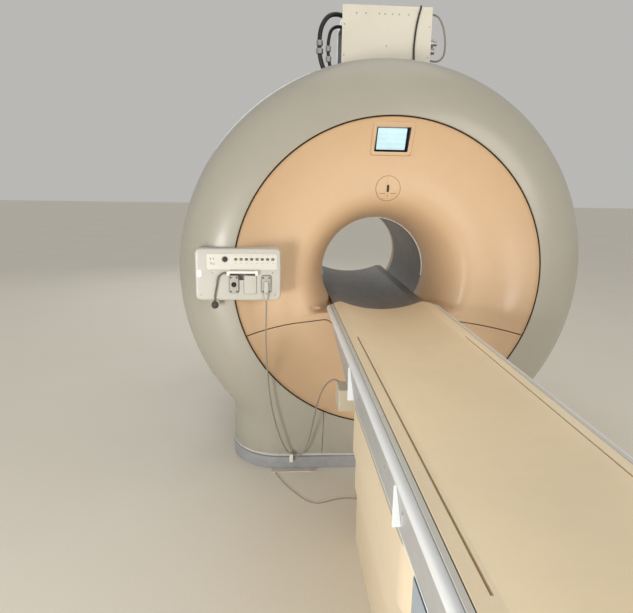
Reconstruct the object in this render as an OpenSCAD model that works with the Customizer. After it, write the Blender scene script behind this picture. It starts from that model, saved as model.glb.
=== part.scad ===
// Walk-through scanner magnet with its sliding patient table.
// The origin lies on the floor, straight below the centre of the bore.
// +Z is up, +Y runs from the table into the bore, and +X is to the right seen from the table.
// All lengths are millimetres.

/* [Magnet covers] */
// Diameter of the round ring covers at their widest
ring_d = 2132; // [2000:2:2240]
// Height of the ring centre above the bore axis
ring_lift = 28; // [0:1:60]
// Diameter of the seam circle between a ring cover and its panel
seam_d = 1560; // [1480:2:1640]
// Distance of the front seam circle from the bore centre
front_reach = 920; // [890:2:980]
// Distance of the rear seam circle from the bore centre
rear_reach = 800; // [780:2:900]
// Length over which the shoulder of a ring cover is rounded
shoulder_l = 190; // [140:2:240]
// Depth of the front dish behind its rim
dish_depth = 135; // [100:1:150]
// Depth of the shallow rear dish
rear_dish_depth = 60; // [30:1:90]
// Diameter of the flat middle of a dish
dish_flat_d = 1024; // [1016:2:1100]
// Wall thickness of the plastic covers
wall = 8; // [5:0.5:12]
// Seam gap between neighbouring covers
seam_gap = 0.8; // [0.5:0.1:2]
// Length of each ring cover from its seam circle to its straight back edge
ring_cover_l = 400; // [340:5:460]
// Diameter of the drum covers between the two ring covers
drum_d = 2004; // [1940:2:2040]

/* [Bore] */
// Diameter of the patient bore
bore_d = 600; // [580:2:640]
// Height of the bore axis above the floor
bore_h = 1031; // [1000:1:1060]
// Diameter of the flared mouth of the bore
mouth_d = 954; // [920:2:960]
// Distance from the bore centre to the end of its straight part
throat_reach = 400; // [360:5:440]
// Wall of the bore liner tube
liner_t = 6; // [4:0.5:8]
// Depth of the flat ledge below the bore axis
ledge_h = 181; // [171:1:191]

/* [Magnet inside] */
// Diameter of the cold vessel of the magnet
cryostat_d = 1880; // [1840:2:1920]
// Half length of the cold vessel
cryostat_reach = 700; // [660:5:715]
// Outer diameter of the gradient coil
gradient_d = 900; // [880:2:920]
// Half length of the gradient coil
gradient_reach = 600; // [540:5:600]
// Outer diameter of the body coil tube
body_coil_d = 700; // [690:2:720]
// Half length of the body coil tube
body_coil_reach = 270; // [240:5:300]
// Width of the steel floor plate
base_w = 1400; // [1340:10:1440]
// Length of the steel floor plate
base_l = 1300; // [1260:10:1320]
// Thickness of the steel floor plate
base_t = 24; // [16:1:30]
// Width of the two cradles under the cold vessel
cradle_w = 1200; // [1000:10:1240]
// Diameter of the four anchor holes in the floor plate
anchor_d = 22; // [16:1:30]
// Spacing of the anchor holes across the magnet
anchor_x = 1200; // [1100:10:1240]
// Spacing of the anchor holes along the magnet
anchor_y = 1160; // [1100:10:1180]

/* [Pedestal] */
// Width of the pedestal covers
pedestal_w = 1610; // [1560:2:1660]
// Distance from the bore centre to the pedestal front
pedestal_reach = 865; // [850:1:880]
// Radius of the pedestal corners in plan
pedestal_r = 270; // [220:5:300]
// Height of the plinth band
plinth_h = 66; // [50:1:80]
// How far the plinth stands out in front of the pedestal
plinth_out = 19; // [10:1:26]
// Wall of the plinth band
plinth_t = 34; // [30:1:40]
// Width of the middle skirt cover under the front panel
skirt_w = 636; // [600:2:680]

/* [Lower front flap] */
// Depth of the flap's top edge below the bore axis beside the table
flap_h = 220; // [211:1:231]
// Fall of the flap's top edge towards the seam circle
flap_fall = 52; // [40:1:60]
// Depth of the flap's top edge below the bore axis under the table
flap_low_h = 263; // [251:1:276]
// Half width of the low middle stretch of that edge
flap_low_x = 243; // [235:1:250]
// Half width at which the edge reaches its full height
flap_high_x = 290; // [284:1:300]

/* [Display and alignment light] */
// Width of the display opening
display_w = 168; // [150:1:190]
// Height of the display opening
display_h = 112; // [100:1:130]
// Height of the display centre above the bore axis
display_z = 703; // [694:1:714]
// Width of the black border round the lit screen
display_border = 11; // [8:1:16]
// Width of the cream frame round the display opening
display_frame_w = 18; // [12:1:22]
// Distance of the display frame from the bore centre
display_reach = 855; // [845:1:865]
// Diameter of the alignment light disc
lens_d = 126; // [110:1:140]
// Height of the alignment light above the bore axis
lens_z = 468; // [460:1:490]

/* [Service turret] */
// Width of the turret front plate
turret_w = 475; // [440:1:500]
// Height of the turret top above the floor
turret_top = 2425; // [2350:1:2500]
// Distance of the turret front plate from the bore centre
turret_reach = 500; // [490:1:506]
// Depth of the turret along the bore
turret_l = 420; // [380:5:440]
// Sideways offset of the turret plate
turret_x = 14; // [0:1:24]
// Outer diameter of the quench outlet pipe
quench_d = 100; // [80:1:120]

/* [Control panel] */
// Width of the control panel housing
panel_w = 412; // [400:1:430]
// Height of the control panel housing
panel_h = 254; // [240:1:264]
// Distance of the panel face from the bore centre
panel_reach = 965; // [955:1:980]
// Sideways place of the panel's left end
panel_x = -958; // [-970:1:-950]
// Height of the panel's lower edge
panel_z = 955; // [945:1:965]
// Size of a key's face
key_size = 14; // [10:0.5:16]
// Spacing of the keys
key_pitch = 25.4; // [24:0.2:28]
// How far a key can be pressed
key_travel = 1.2; // [0.8:0.1:1.6]
// Diameter of the round stop button
button_d = 24; // [20:1:28]
// How far the round button can be pressed
button_travel = 3; // [2:0.5:4]
// Clearance round a moving key or button
key_gap = 0.4; // [0.3:0.05:0.6]

/* [Table] */
// Length of the sliding tabletop
top_l = 2500; // [2400:10:2600]
// Place of the tabletop's head end along the bore
top_head_y = -740; // [-760:5:-720]
// Half width of the tabletop
top_half_w = 266; // [260:1:268]
// Depth of the tabletop's flanges below the bore axis
top_h = 129; // [127:1:131]
// Thickness of the tabletop
top_t = 20; // [16:1:22]
// Depth of the tabletop's hollow
top_dip = 44; // [36:1:48]
// Half width of the tabletop's hollow
top_dip_x = 220; // [210:1:222]
// Width of the accessory slots in the flanges
slot_w = 6; // [4:0.5:8]
// Travel of the tabletop into the bore
top_travel = 1700; // [1500:10:1700]
// Running clearance under the tabletop
glide_gap = 0.4; // [0.3:0.1:1]
// Clearance between the tabletop and the bore bridge
bridge_gap = 1; // [0.5:0.1:2]
// Half width of the table frame
frame_half_w = 281; // [280:1:284]
// Depth of the side band's lower edge below the bore axis
band_low = 309; // [301:1:315]
// Thickness of the covers of the table base
table_wall = 5; // [3:0.5:8]
// Half width of the upper table cover
upper_half_w = 283; // [282:1:288]
// Half width of the middle table cover
middle_half_w = 262; // [256:1:266]
// Half width of the lower table cover
lower_half_w = 224; // [218:1:236]
// Height of the upper cover's lower edge
upper_low = 550; // [540:1:560]
// Height of the middle cover's lower edge
middle_low = 365; // [350:1:380]
// How far the table frame stops before the tabletop's foot end
frame_foot_y = 40; // [20:5:90]
// Length of the foot end of the table frame beyond its base
foot_end_l = 580; // [500:5:640]
// Length of the upper table cover
upper_cover_l = 970; // [940:5:1000]
// Length of the middle table cover
middle_cover_l = 1020; // [1000:5:1050]
// Length of the lower table cover
lower_cover_l = 1160; // [1140:5:1180]
// Length of the foot frame inside the table base
foot_frame_l = 1000; // [900:10:1060]
// Width of the foot frame inside the table base
foot_frame_w = 380; // [340:5:400]
// Spacing of the two lift columns
column_pitch = 450; // [400:5:480]
// Width of a lift column
column_w = 180; // [160:5:200]
// Length of a lift column along the table
column_l = 120; // [100:5:140]
// Width of the inner part of a lift column
inner_column_w = 140; // [120:5:150]
// Length of the inner part of a lift column
inner_column_l = 90; // [80:5:95]
// Radius of the drive pulleys
pulley_r = 22; // [20:0.5:23]
// Width of the drive belt
belt_w = 30; // [20:1:36]
// Thickness of the drive belt
belt_t = 2.5; // [2:0.1:3]

/* [Hidden] */
$fn = 96;

// Colours
greige = [0.66, 0.63, 0.57];
cream = [0.86, 0.76, 0.64];
pale_grey = [0.70, 0.71, 0.70];
blue_grey = [0.48, 0.53, 0.58];
dark_grey = [0.30, 0.30, 0.30];
steel = [0.62, 0.63, 0.65];
beige = [0.88, 0.82, 0.68];

// Clearance of pieces that seat on each other
seat = 0.3;
// Clearance of a turning shaft in its bearing
shaft_gap = 0.05;

ring_r = ring_d / 2;
seam_r = seam_d / 2;
bore_r = bore_d / 2;
mouth_r = mouth_d / 2;
ring_h = bore_h + ring_lift;
drum_r = drum_d / 2;
cryostat_r = cryostat_d / 2;
gradient_r = gradient_d / 2;
body_coil_r = body_coil_d / 2;
dish_flat_r = dish_flat_d / 2;
// Heights above the floor of what is measured from the bore axis
board_h = bore_h - top_h;
ledge_z = bore_h - ledge_h;
band_z = bore_h - band_low;
flap_z = bore_h - flap_h;
flap_low_z = bore_h - flap_low_h;
screen_z = bore_h + display_z;
light_z = bore_h + lens_z;
// Ends of the tabletop and of the table's parts along the bore
top_foot_y = top_head_y - top_l;
frame_end_y = top_foot_y + frame_foot_y;
base_foot_y = frame_end_y + foot_end_l;
front_flat = front_reach - dish_depth;
rear_flat = rear_reach - rear_dish_depth;
front_back = front_reach - ring_cover_l;
rear_back = rear_reach - ring_cover_l + 20;
drum_front = front_back - seam_gap;
drum_rear = rear_back - seam_gap;

// Turns a profile of radius and forward distance about the ring axis or the bore axis
module about_axis(height) {
    translate([0, 0, height]) rotate([90, 0, 0]) rotate_extrude($fn = 180) children();
}

// Extrudes an outline of width and height along the bore, from y_low to y_high
module along_bore(y_low, y_high) {
    translate([0, y_high, 0]) rotate([90, 0, 0]) linear_extrude(y_high - y_low) children();
}

// Cylinder across the table, along X, centred on x_mid
module across(r, l, x_mid = 0) {
    translate([x_mid - l / 2, 0, 0]) rotate([0, 90, 0]) cylinder(r = r, h = l);
}

// Rectangle with rounded corners, centred
module rounded_rect(w, h, r) {
    square([w - 2 * r, h], center = true);
    square([w, h - 2 * r], center = true);
    for (sx = [-1, 1]) {
        for (sy = [-1, 1]) {
            translate([sx * (w / 2 - r), sy * (h / 2 - r)]) circle(r, $fn = 64);
        }
    }
}

module both_sides() {
    children();
    mirror([1, 0, 0]) children();
}

// Points of the dish from its flat middle to the seam circle
function dish_points(flat, depth, inset) = [for (k = [0:16])
    let (u = k / 16) [dish_flat_r + (seam_r - dish_flat_r) * u, flat + depth * u * u - inset]];

// Points of the rounded shoulder of a ring cover, a quarter ellipse
function shoulder_points(reach, inset) = [for (k = [0:12])
    let (a = 7.5 * k) [seam_r + (ring_r - seam_r - inset) * sin(a),
        reach - shoulder_l + (shoulder_l - inset) * cos(a)]];

// Points of the flared mouth, a quarter ellipse from the throat to the flat
function mouth_points(flat, inset) = [for (k = [0:18])
    let (a = 5 * k) [mouth_r - (mouth_r - bore_r - inset) * cos(a),
        throat_reach + (flat - throat_reach - inset) * sin(a)]];

// Solid body of revolution under a ring cover
module ring_form(reach, back, inset) {
    about_axis(ring_h) polygon(concat([[0, back], [0, reach - inset]],
        shoulder_points(reach, inset), [[ring_r - inset, back]]));
}

// Solid body in front of which everything on the front stands
module front_form(lift) {
    translate([0, -lift, 0]) about_axis(ring_h) polygon(concat([[0, 0], [0, front_flat]],
        dish_points(front_flat, dish_depth, 0), shoulder_points(front_reach, 0), [[ring_r, 0]]));
}

// Shell of a dish with its flared mouth, in front of the bore or behind it
module dish_shell(flat, depth) {
    difference() {
        about_axis(ring_h) polygon(concat([[0, flat]], dish_points(flat, depth, 0),
            [[seam_r, flat + depth - wall]], [for (k = [16:-1:0]) dish_points(flat, depth, wall)[k]],
            [[0, flat - wall]]));
        about_axis(bore_h) translate([0, flat - 2 * wall]) square([mouth_r - 1, 4 * wall]);
        seam_cut(flat + depth);
    }
}

module seam_cut(reach) {
    about_axis(ring_h) translate([seam_r - seam_gap / 2, reach - 4 * wall])
        square([wall, 8 * wall]);
}

module mouth_shell(flat) {
    about_axis(bore_h) polygon(concat(mouth_points(flat, 0),
        [[mouth_r + wall, flat], [mouth_r + wall, flat - wall]],
        [for (k = [18:-1:0]) mouth_points(flat, wall)[k]]));
}

// Space inside the flared mouth
module mouth_space(flat, inset) {
    about_axis(bore_h) polygon(concat([[0, throat_reach]], mouth_points(flat, inset),
        [[mouth_r, flat + 1], [0, flat + 1]]));
}

// Plan of the pedestal, from front to back, drawn in X and Y
module pedestal_plan(grow) {
    l = pedestal_reach + rear_reach - 55;
    translate([0, (rear_reach - 55 - pedestal_reach) / 2])
        rounded_rect(pedestal_w + 2 * grow, l + 2 * grow, pedestal_r + grow);
}

// The pedestal's sides run into the ring below this height, so its top ends inside the ring
pedestal_bury = 40;
pedestal_top = ring_h - sqrt(ring_r * ring_r - pedestal_w * pedestal_w / 4) + pedestal_bury;
cover_low = plinth_h + seat;

module pedestal_block(inset) {
    translate([0, 0, cover_low - inset]) linear_extrude(pedestal_top - cover_low)
        pedestal_plan(-inset);
}

// Shell of a ring cover with its part of the pedestal, drawn in front of the bore;
// plan_turn turns the pedestal's plan round for the rear cover
module ring_cover_solid(reach, back, plan_turn) {
    difference() {
        intersection() {
            union() {
                ring_form(reach, back - 2, 0);
                rotate([0, 0, plan_turn]) pedestal_block(0);
            }
            translate([-ring_r - 1, -reach - 1, cover_low])
                cube([ring_d + 2, reach + 1 - back, 2 * ring_r]);
        }
        ring_form(reach, back - 4, wall);
        rotate([0, 0, plan_turn]) pedestal_block(wall);
        about_axis(ring_h) square([seam_r + seam_gap / 2, reach + wall]);
    }
}

module skirt_space(w) {
    translate([-w / 2, -front_reach - 1, 0]) cube([w, ring_cover_l + 2, ring_h - seam_r + 160]);
}

// Length over which the flap's top edge falls by flap_fall
flap_fall_l = 430;
// Outline of everything below the flap's top edge, drawn in X and Z
module flap_outline(shift) {
    far_x = seam_r;
    far_z = flap_z - flap_fall * (far_x - flap_high_x) / flap_fall_l;
    polygon([[-far_x, 0], [-far_x, far_z + shift], [-flap_high_x - 26, flap_z + shift],
        [-flap_high_x - 8, flap_z - 1 + shift], [-flap_high_x + 4, flap_z - 7 + shift],
        [-flap_low_x - 8, flap_low_z + 5 + shift], [-flap_low_x, flap_low_z + shift],
        [flap_low_x, flap_low_z + shift], [flap_low_x + 8, flap_low_z + 5 + shift],
        [flap_high_x - 4, flap_z - 7 + shift], [flap_high_x + 8, flap_z - 1 + shift],
        [flap_high_x + 26, flap_z + shift], [far_x, far_z + shift], [far_x, 0]]);
}

module magnet_base() {
    cradle_y = 430;
    cradle_t = 100;
    back_shift = 30;
    // The cradles' ends reach a little above the vessel's surface there
    cradle_top = bore_h - sqrt(cryostat_r * cryostat_r - cradle_w * cradle_w / 4) + 17;
    color(steel) difference() {
        union() {
            translate([-base_w / 2, -base_l / 2 - back_shift, 0]) cube([base_w, base_l, base_t]);
            for (y = [-cradle_y, cradle_y]) {
                translate([-cradle_w / 2, y - cradle_t / 2, base_t])
                    cube([cradle_w, cradle_t, cradle_top - base_t]);
            }
        }
        along_bore(-cryostat_reach, cryostat_reach)
            translate([0, bore_h]) circle(cryostat_r + seat, $fn = 180);
        for (sx = [-1, 1]) {
            for (sy = [-1, 1]) {
                translate([sx * anchor_x / 2, sy * anchor_y / 2 - back_shift, -1])
                    cylinder(d = anchor_d, h = base_t + 2);
            }
        }
    }
}

module cryostat() {
    edge = 40;
    color(steel) about_axis(bore_h) polygon([
        [gradient_r + seat, -cryostat_reach], [cryostat_r - edge, -cryostat_reach],
        [cryostat_r, -cryostat_reach + edge], [cryostat_r, cryostat_reach - edge],
        [cryostat_r - edge, cryostat_reach], [gradient_r + seat, cryostat_reach]]);
}

module tube_piece(r_in, r_out, reach) {
    about_axis(bore_h) translate([r_in, -reach]) square([r_out - r_in, 2 * reach]);
}

module gradient_coil() {
    color([0.55, 0.42, 0.25]) tube_piece(body_coil_r + seat, gradient_r, gradient_reach);
}

module rf_body_coil() {
    color([0.72, 0.66, 0.52]) tube_piece(bore_r + liner_t + seat, body_coil_r, body_coil_reach);
}

module bore_liner() {
    color(dark_grey) tube_piece(bore_r, bore_r + liner_t, throat_reach - seat);
}

// Radius and centre height of the hollow that the tabletop's upper face follows
dip_r = (top_dip_x * top_dip_x + top_dip * top_dip) / (2 * top_dip);
dip_a = asin(top_dip_x / dip_r);

// Points of the hollow from left to right, lowered by drop
function dip_points(drop) = [for (k = [-12:12])
    let (a = dip_a * k / 12) [dip_r * sin(a), board_h - top_dip - drop + dip_r * (1 - cos(a))]];

bridge_low = board_h - 90;
bridge_front = -front_flat - 4;
bridge_back = rear_flat - 60;

module bore_bridge() {
    drop = top_t + bridge_gap;
    color([0.42, 0.42, 0.41]) along_bore(bridge_front, bridge_back) intersection() {
        translate([0, bore_h]) circle(bore_r - seat, $fn = 180);
        polygon(concat([[-bore_r, bridge_low], [-bore_r, board_h - drop]], dip_points(drop),
            [[bore_r, board_h - drop], [bore_r, bridge_low]]));
    }
}

// Channel in the ledge for the bridge
module bridge_channel() {
    along_bore(-front_reach, -throat_reach + 40) intersection() {
        translate([0, bore_h]) circle(bore_r, $fn = 180);
        translate([-bore_r, bridge_low - seat]) square([bore_d, bore_r]);
    }
}

module front_ring_cover() {
    color(greige) difference() {
        ring_cover_solid(front_reach, front_back, 0);
        skirt_space(skirt_w + seam_gap);
    }
}

module front_skirt_cover() {
    color(greige) intersection() {
        ring_cover_solid(front_reach, front_back, 0);
        skirt_space(skirt_w - seam_gap);
    }
}

module front_panel() {
    color(cream) difference() {
        union() {
            dish_shell(front_flat, dish_depth);
            // Flared mouth above the ledge
            intersection() {
                mouth_shell(front_flat);
                translate([-mouth_r - 20, -front_flat - 1, ledge_z - wall])
                    cube([mouth_d + 40, front_flat, mouth_d + 20]);
            }
            // Ledge across the lower mouth
            intersection() {
                mouth_space(front_flat, wall / 2);
                translate([-mouth_r, -front_flat, ledge_z - wall])
                    cube([mouth_d, front_flat - throat_reach, wall]);
            }
            // Flat wall below the ledge
            intersection() {
                about_axis(bore_h) translate([0, front_flat - wall]) square([mouth_r + 2, wall]);
                translate([-mouth_r, -front_flat - 1, 0]) cube([mouth_d, wall + 2, ledge_z]);
            }
        }
        bridge_channel();
        along_bore(-front_reach - 1, -front_flat + 2 * wall) flap_outline(seam_gap / 2);
        display_pocket(frame_outer_w + 2 * seat, frame_outer_h + 2 * seat, frame_r + seat);
        lens_bore(lens_d / 2 + seat);
    }
}

module lower_front_panel() {
    color(cream) difference() {
        intersection() {
            about_axis(ring_h) polygon(concat([[0, front_flat]],
                dish_points(front_flat, dish_depth, 0), [[seam_r, front_reach - wall]],
                [for (k = [16:-1:0]) dish_points(front_flat, dish_depth, wall)[k]],
                [[0, front_flat - wall]]));
            along_bore(-front_reach - 1, -front_flat + 2 * wall) flap_outline(-seam_gap / 2);
        }
        seam_cut(front_reach);
    }
}

frame_outer_w = display_w + 2 * display_frame_w;
frame_outer_h = display_h + 2 * display_frame_w;
frame_r = 12;
opening_r = 5;

// Straight opening through the dish, or a block that fills it
module display_pocket(w, h, r) {
    along_bore(-front_reach, -front_flat + 4 * wall)
        translate([0, screen_z]) rounded_rect(w, h, r);
}

lens_depth = 46;

module lens_bore(r) {
    along_bore(-front_flat - wall, -front_flat + lens_depth + wall)
        translate([0, light_z]) circle(r);
}

// The screen lies at the back of a deep black box
screen_reach = display_reach - 34;

// Upright frame that stands out of the dish at its foot and lies in it at its head
module display_frame() {
    color(cream) along_bore(-display_reach, -front_flat + 3 * wall) translate([0, screen_z])
        difference() {
            rounded_rect(frame_outer_w, frame_outer_h, frame_r);
            rounded_rect(display_w, display_h, opening_r);
        }
}

module display_bezel() {
    set_back = 2;
    depth = 26;
    color([0.12, 0.12, 0.12]) difference() {
        along_bore(-display_reach + set_back, -screen_reach + depth)
            translate([0, screen_z]) rounded_rect(display_w - 2 * seat, display_h - 2 * seat, opening_r);
        along_bore(-front_reach - 1, -screen_reach + 12) translate([0, screen_z])
            rounded_rect(display_w - 2 * display_border, display_h - 2 * display_border, 4);
    }
}

module display_screen() {
    color([0.75, 0.92, 0.95]) along_bore(-screen_reach + 2, -screen_reach + 12 - seat)
        translate([0, screen_z]) rounded_rect(display_w - 2 * display_border - 2 * seat,
            display_h - 2 * display_border - 2 * seat, 4);
}

module alignment_light() {
    color([0.80, 0.71, 0.60]) difference() {
        along_bore(-front_flat, -front_flat + lens_depth) translate([0, light_z]) circle(lens_d / 2);
        // The disc's lower part follows the flare
        mouth_space(front_flat, 0);
        along_bore(-front_flat - 2, -front_flat + 16) translate([0, light_z])
            rounded_rect(13, 38, 6);
    }
}

module plinth_skirt() {
    color(blue_grey) difference() {
        linear_extrude(plinth_h) translate([0, -plinth_out / 2]) plinth_plan(0);
        translate([0, 0, -1]) linear_extrude(plinth_h + 2)
            translate([0, -plinth_out / 2]) plinth_plan(-plinth_t);
    }
}

module plinth_plan(grow) {
    l = pedestal_reach + rear_reach - 55 + plinth_out;
    translate([0, (rear_reach - 55 - pedestal_reach) / 2])
        rounded_rect(pedestal_w + 8 + 2 * grow, l + 2 * grow, pedestal_r + 6 + grow);
}

module rear_ring_cover() {
    color(greige) rotate([0, 0, 180]) ring_cover_solid(rear_reach, rear_back, 180);
}

module rear_panel() {
    color(cream) mirror([0, 1, 0]) union() {
        dish_shell(rear_flat, rear_dish_depth);
        mouth_shell(rear_flat);
    }
}

module side_cover() {
    color(greige) difference() {
        intersection() {
            union() {
                along_bore(-drum_front, drum_rear) translate([0, ring_h]) circle(drum_r, $fn = 180);
                pedestal_block(0);
            }
            translate([-ring_r, -drum_front, cover_low])
                cube([ring_r - seam_gap / 2, drum_front + drum_rear, 2 * ring_r]);
        }
        along_bore(-drum_front - 1, drum_rear + 1)
            translate([0, ring_h]) circle(drum_r - wall, $fn = 180);
        pedestal_block(wall);
        turret_space(6);
    }
}

module left_side_cover() {
    side_cover();
}

module right_side_cover() {
    difference() {
        mirror([1, 0, 0]) side_cover();
        turret_space(6);
    }
}

// Space of the turret through the drum covers
module turret_space(grow) {
    half = turret_w / 2 + abs(turret_x) + grow;
    translate([-half, -turret_reach - 8, ring_h])
        cube([2 * half, turret_l + 8 + grow, turret_top]);
}

module turret_frame() {
    post = 40;
    half = turret_w / 2 - 20;
    back = -turret_reach + turret_l;
    front = -turret_reach + seat;
    color(steel) difference() {
        union() {
            for (x = [turret_x - half, turret_x + half - post]) {
                for (y = [front, back - post]) {
                    translate([x, y, bore_h]) cube([post, post, turret_top - bore_h - 12]);
                }
            }
            // Top frame and lower cross bars
            for (z = [turret_top - 12 - post, bore_h + cryostat_r + 6]) {
                for (y = [front, back - post]) {
                    translate([turret_x - half, y, z]) cube([2 * half, post, post]);
                }
                for (x = [turret_x - half, turret_x + half - post]) {
                    translate([x, front, z]) cube([post, turret_l - seat, post]);
                }
            }
        }
        along_bore(-cryostat_reach, cryostat_reach)
            translate([0, bore_h]) circle(cryostat_r + seat, $fn = 180);
    }
}

module turret_front_plate() {
    hole_edge = 12;
    plate_low = bore_h + cryostat_r + 40;
    color([0.86, 0.84, 0.78]) difference() {
        translate([turret_x - turret_w / 2, -turret_reach - 5, plate_low])
            cube([turret_w, 5, turret_top - plate_low]);
        for (x = [turret_x - turret_w / 2 + hole_edge, turret_x + turret_w / 2 - hole_edge]) {
            for (z = [turret_top - hole_edge, turret_top - hole_edge - 150]) {
                translate([x, -turret_reach - 3.5, z]) rotate([90, 0, 0]) cylinder(d = 8, h = 2);
            }
        }
    }
}

module cold_head() {
    x = turret_x - 80;
    y = -turret_reach + 150;
    color(steel) translate([x, y, 0]) difference() {
        union() {
            translate([0, 0, bore_h + cryostat_r - 60]) cylinder(r = 75, h = 84);
            translate([0, 0, bore_h + cryostat_r + 24]) cylinder(r = 58, h = 180);
            translate([-50, -50, bore_h + cryostat_r + 204]) cube([100, 100, 90]);
            translate([0, 0, bore_h + cryostat_r + 294]) cylinder(r = 42, h = 50);
        }
        translate([-x, -y, 0]) along_bore(-cryostat_reach, cryostat_reach)
            translate([0, bore_h]) circle(cryostat_r + seat, $fn = 180);
    }
}

module quench_outlet() {
    x = turret_x + 80;
    y = -turret_reach + turret_l - 150;
    color([0.75, 0.75, 0.75]) translate([x, y, 0]) difference() {
        union() {
            translate([0, 0, bore_h + cryostat_r - 60]) cylinder(d = quench_d + 50, h = 80);
            translate([0, 0, bore_h + cryostat_r]) cylinder(d = quench_d, h = 440);
        }
        translate([0, 0, bore_h + cryostat_r + 60]) cylinder(d = quench_d - 8, h = 400);
        translate([-x, -y, 0]) along_bore(-cryostat_reach, cryostat_reach)
            translate([0, bore_h]) circle(cryostat_r + seat, $fn = 180);
    }
}

// Places on the control panel, measured from its lower left corner
strip_x = panel_x + 56;
strip_w = 338;
strip_z = panel_z + 152;
strip_h = 77;
strip_t = 4;
key_row_z = strip_z + 51;
first_key_x = strip_x + 140;
button_x = strip_x + 88;
key_depth = 14;
socket_z = panel_z + 37;
socket_w = 44;
socket_h = 88;
socket_out = 22;
left_socket_x = panel_x + 186;
right_socket_x = panel_x + 342;

module panel_outline(inset) {
    r = 26;
    translate([panel_x + panel_w / 2, panel_z + panel_h / 2])
        rounded_rect(panel_w - 2 * inset, panel_h - 2 * inset, r - inset);
}

function key_x(k) = first_key_x + (k - 1) * key_pitch;

module key_outline(size) {
    rounded_rect(size, size * 0.8, 2.5);
}

module control_panel_housing() {
    lip = 5;
    color(pale_grey) difference() {
        union() {
            along_bore(-panel_reach, -front_flat) panel_outline(lip);
            along_bore(-panel_reach + lip, -front_flat) panel_outline(0);
        }
        front_form(seat);
        // Bed of the key strip, with the wells of the keys and the button
        along_bore(-panel_reach - 1, -panel_reach + strip_t)
            translate([strip_x + strip_w / 2, strip_z + strip_h / 2])
                rounded_rect(strip_w, strip_h, 6);
        key_wells(-panel_reach - 1, -panel_reach + key_depth);
        // Finger recess behind the handle
        along_bore(-panel_reach - 1, -panel_reach + handle_recess)
            translate([handle_x, handle_z - 22]) rounded_rect(handle_w - 30, 40, 8);
    }
}

module key_wells(y_low, y_high) {
    along_bore(y_low, y_high) {
        for (k = [1:8]) {
            translate([key_x(k), key_row_z]) key_outline(key_size + 2 * key_gap);
        }
        translate([button_x, key_row_z]) circle(button_d / 2 + key_gap);
    }
}

module key_strip() {
    color([0.80, 0.80, 0.78]) difference() {
        along_bore(-panel_reach - 1, -panel_reach + strip_t - seat)
            translate([strip_x + strip_w / 2, strip_z + strip_h / 2])
                rounded_rect(strip_w - 2 * seat, strip_h - 2 * seat, 6);
        key_wells(-panel_reach - 2, -panel_reach + strip_t);
    }
}

module key(k) {
    proud = 3;
    color([0.30, 0.32, 0.34])
        along_bore(-panel_reach - proud, -panel_reach + key_depth - key_travel - 1)
            translate([key_x(k), key_row_z]) key_outline(key_size);
}

module round_button() {
    proud = 6;
    color([0.10, 0.10, 0.10])
        along_bore(-panel_reach - proud, -panel_reach + key_depth - button_travel - 1)
            translate([button_x, key_row_z]) circle(button_d / 2);
}

handle_x = panel_x + 228;
handle_z = panel_z + 143;
handle_w = 150;
handle_recess = 24;
handle_out = 26;
handle_bar = 12;
handle_leg_w = 14;
handle_leg_h = 22;

module panel_handle() {
    color([0.92, 0.92, 0.90]) difference() {
        along_bore(-panel_reach - handle_out, -panel_reach - seat) {
            translate([handle_x, handle_z]) rounded_rect(handle_w, handle_bar, 5);
            for (sx = [-1, 1]) {
                translate([handle_x + sx * (handle_w - handle_leg_w) / 2, handle_z - 5])
                    rounded_rect(handle_leg_w, handle_leg_h, 5);
            }
        }
        // Finger gap between the bar and the panel face
        along_bore(-panel_reach - handle_out + 10, -panel_reach)
            translate([handle_x, handle_z]) square([handle_w - 36, 3 * handle_bar], center = true);
    }
}

module panel_sockets() {
    color([0.80, 0.81, 0.80]) for (x = [left_socket_x, right_socket_x]) {
        along_bore(-panel_reach - socket_out, -panel_reach - seat)
            translate([x, socket_z + socket_h / 2]) rounded_rect(socket_w, socket_h, 6);
    }
}

// Cords: points chosen by hand, in millimetres
cable_d = 8;
tube_d = 9;
wire_d = 4;
bulb_place = [-865, -972, 938];
cable_route = [[-616, -976, 960], [-616, -976, 920], [-617, -976, 875], [-618, -976, 825],
    [-619, -976, 770], [-618, -975, 710], [-615, -974, 645], [-611, -972, 575],
    [-605, -971, 505], [-597, -968, 435], [-586, -961, 365], [-572, -951, 300],
    [-557, -939, 242], [-542, -928, 193], [-528, -918, 154], [-516, -910, 128],
    [-507, -904, 113], [-497, -901, 102], [-487, -900, 95], [-476, -900, 88], [-463, -900, 84],
    [-449, -901, 84], [-437, -903, 90], [-427, -907, 101], [-418, -912, 116],
    [-410, -919, 137], [-402, -928, 165], [-394, -942, 202], [-387, -963, 250],
    [-381, -990, 304], [-376, -1023, 360], [-371, -1062, 419], [-366, -1103, 474],
    [-360, -1147, 525], [-353, -1194, 573], [-344, -1241, 614], [-335, -1287, 647],
    [-326, -1331, 673], [-318, -1370, 692], [-312, -1405, 703], [-308, -1440, 708]];
clip_place = [-487, -900, 95];
tube_route = [[-805, -978, 1093], [-814, -978, 1093], [-825, -978, 1091], [-835, -977, 1085],
    [-843, -977, 1076], [-848, -976, 1064], [-851, -975, 1050], [-853, -975, 1036],
    [-856, -974, 1021], [-859, -973, 1006], [-862, -973, 991], [-864, -972, 980],
    [-865, -972, 969], [-865, -972, 958]];
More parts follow.
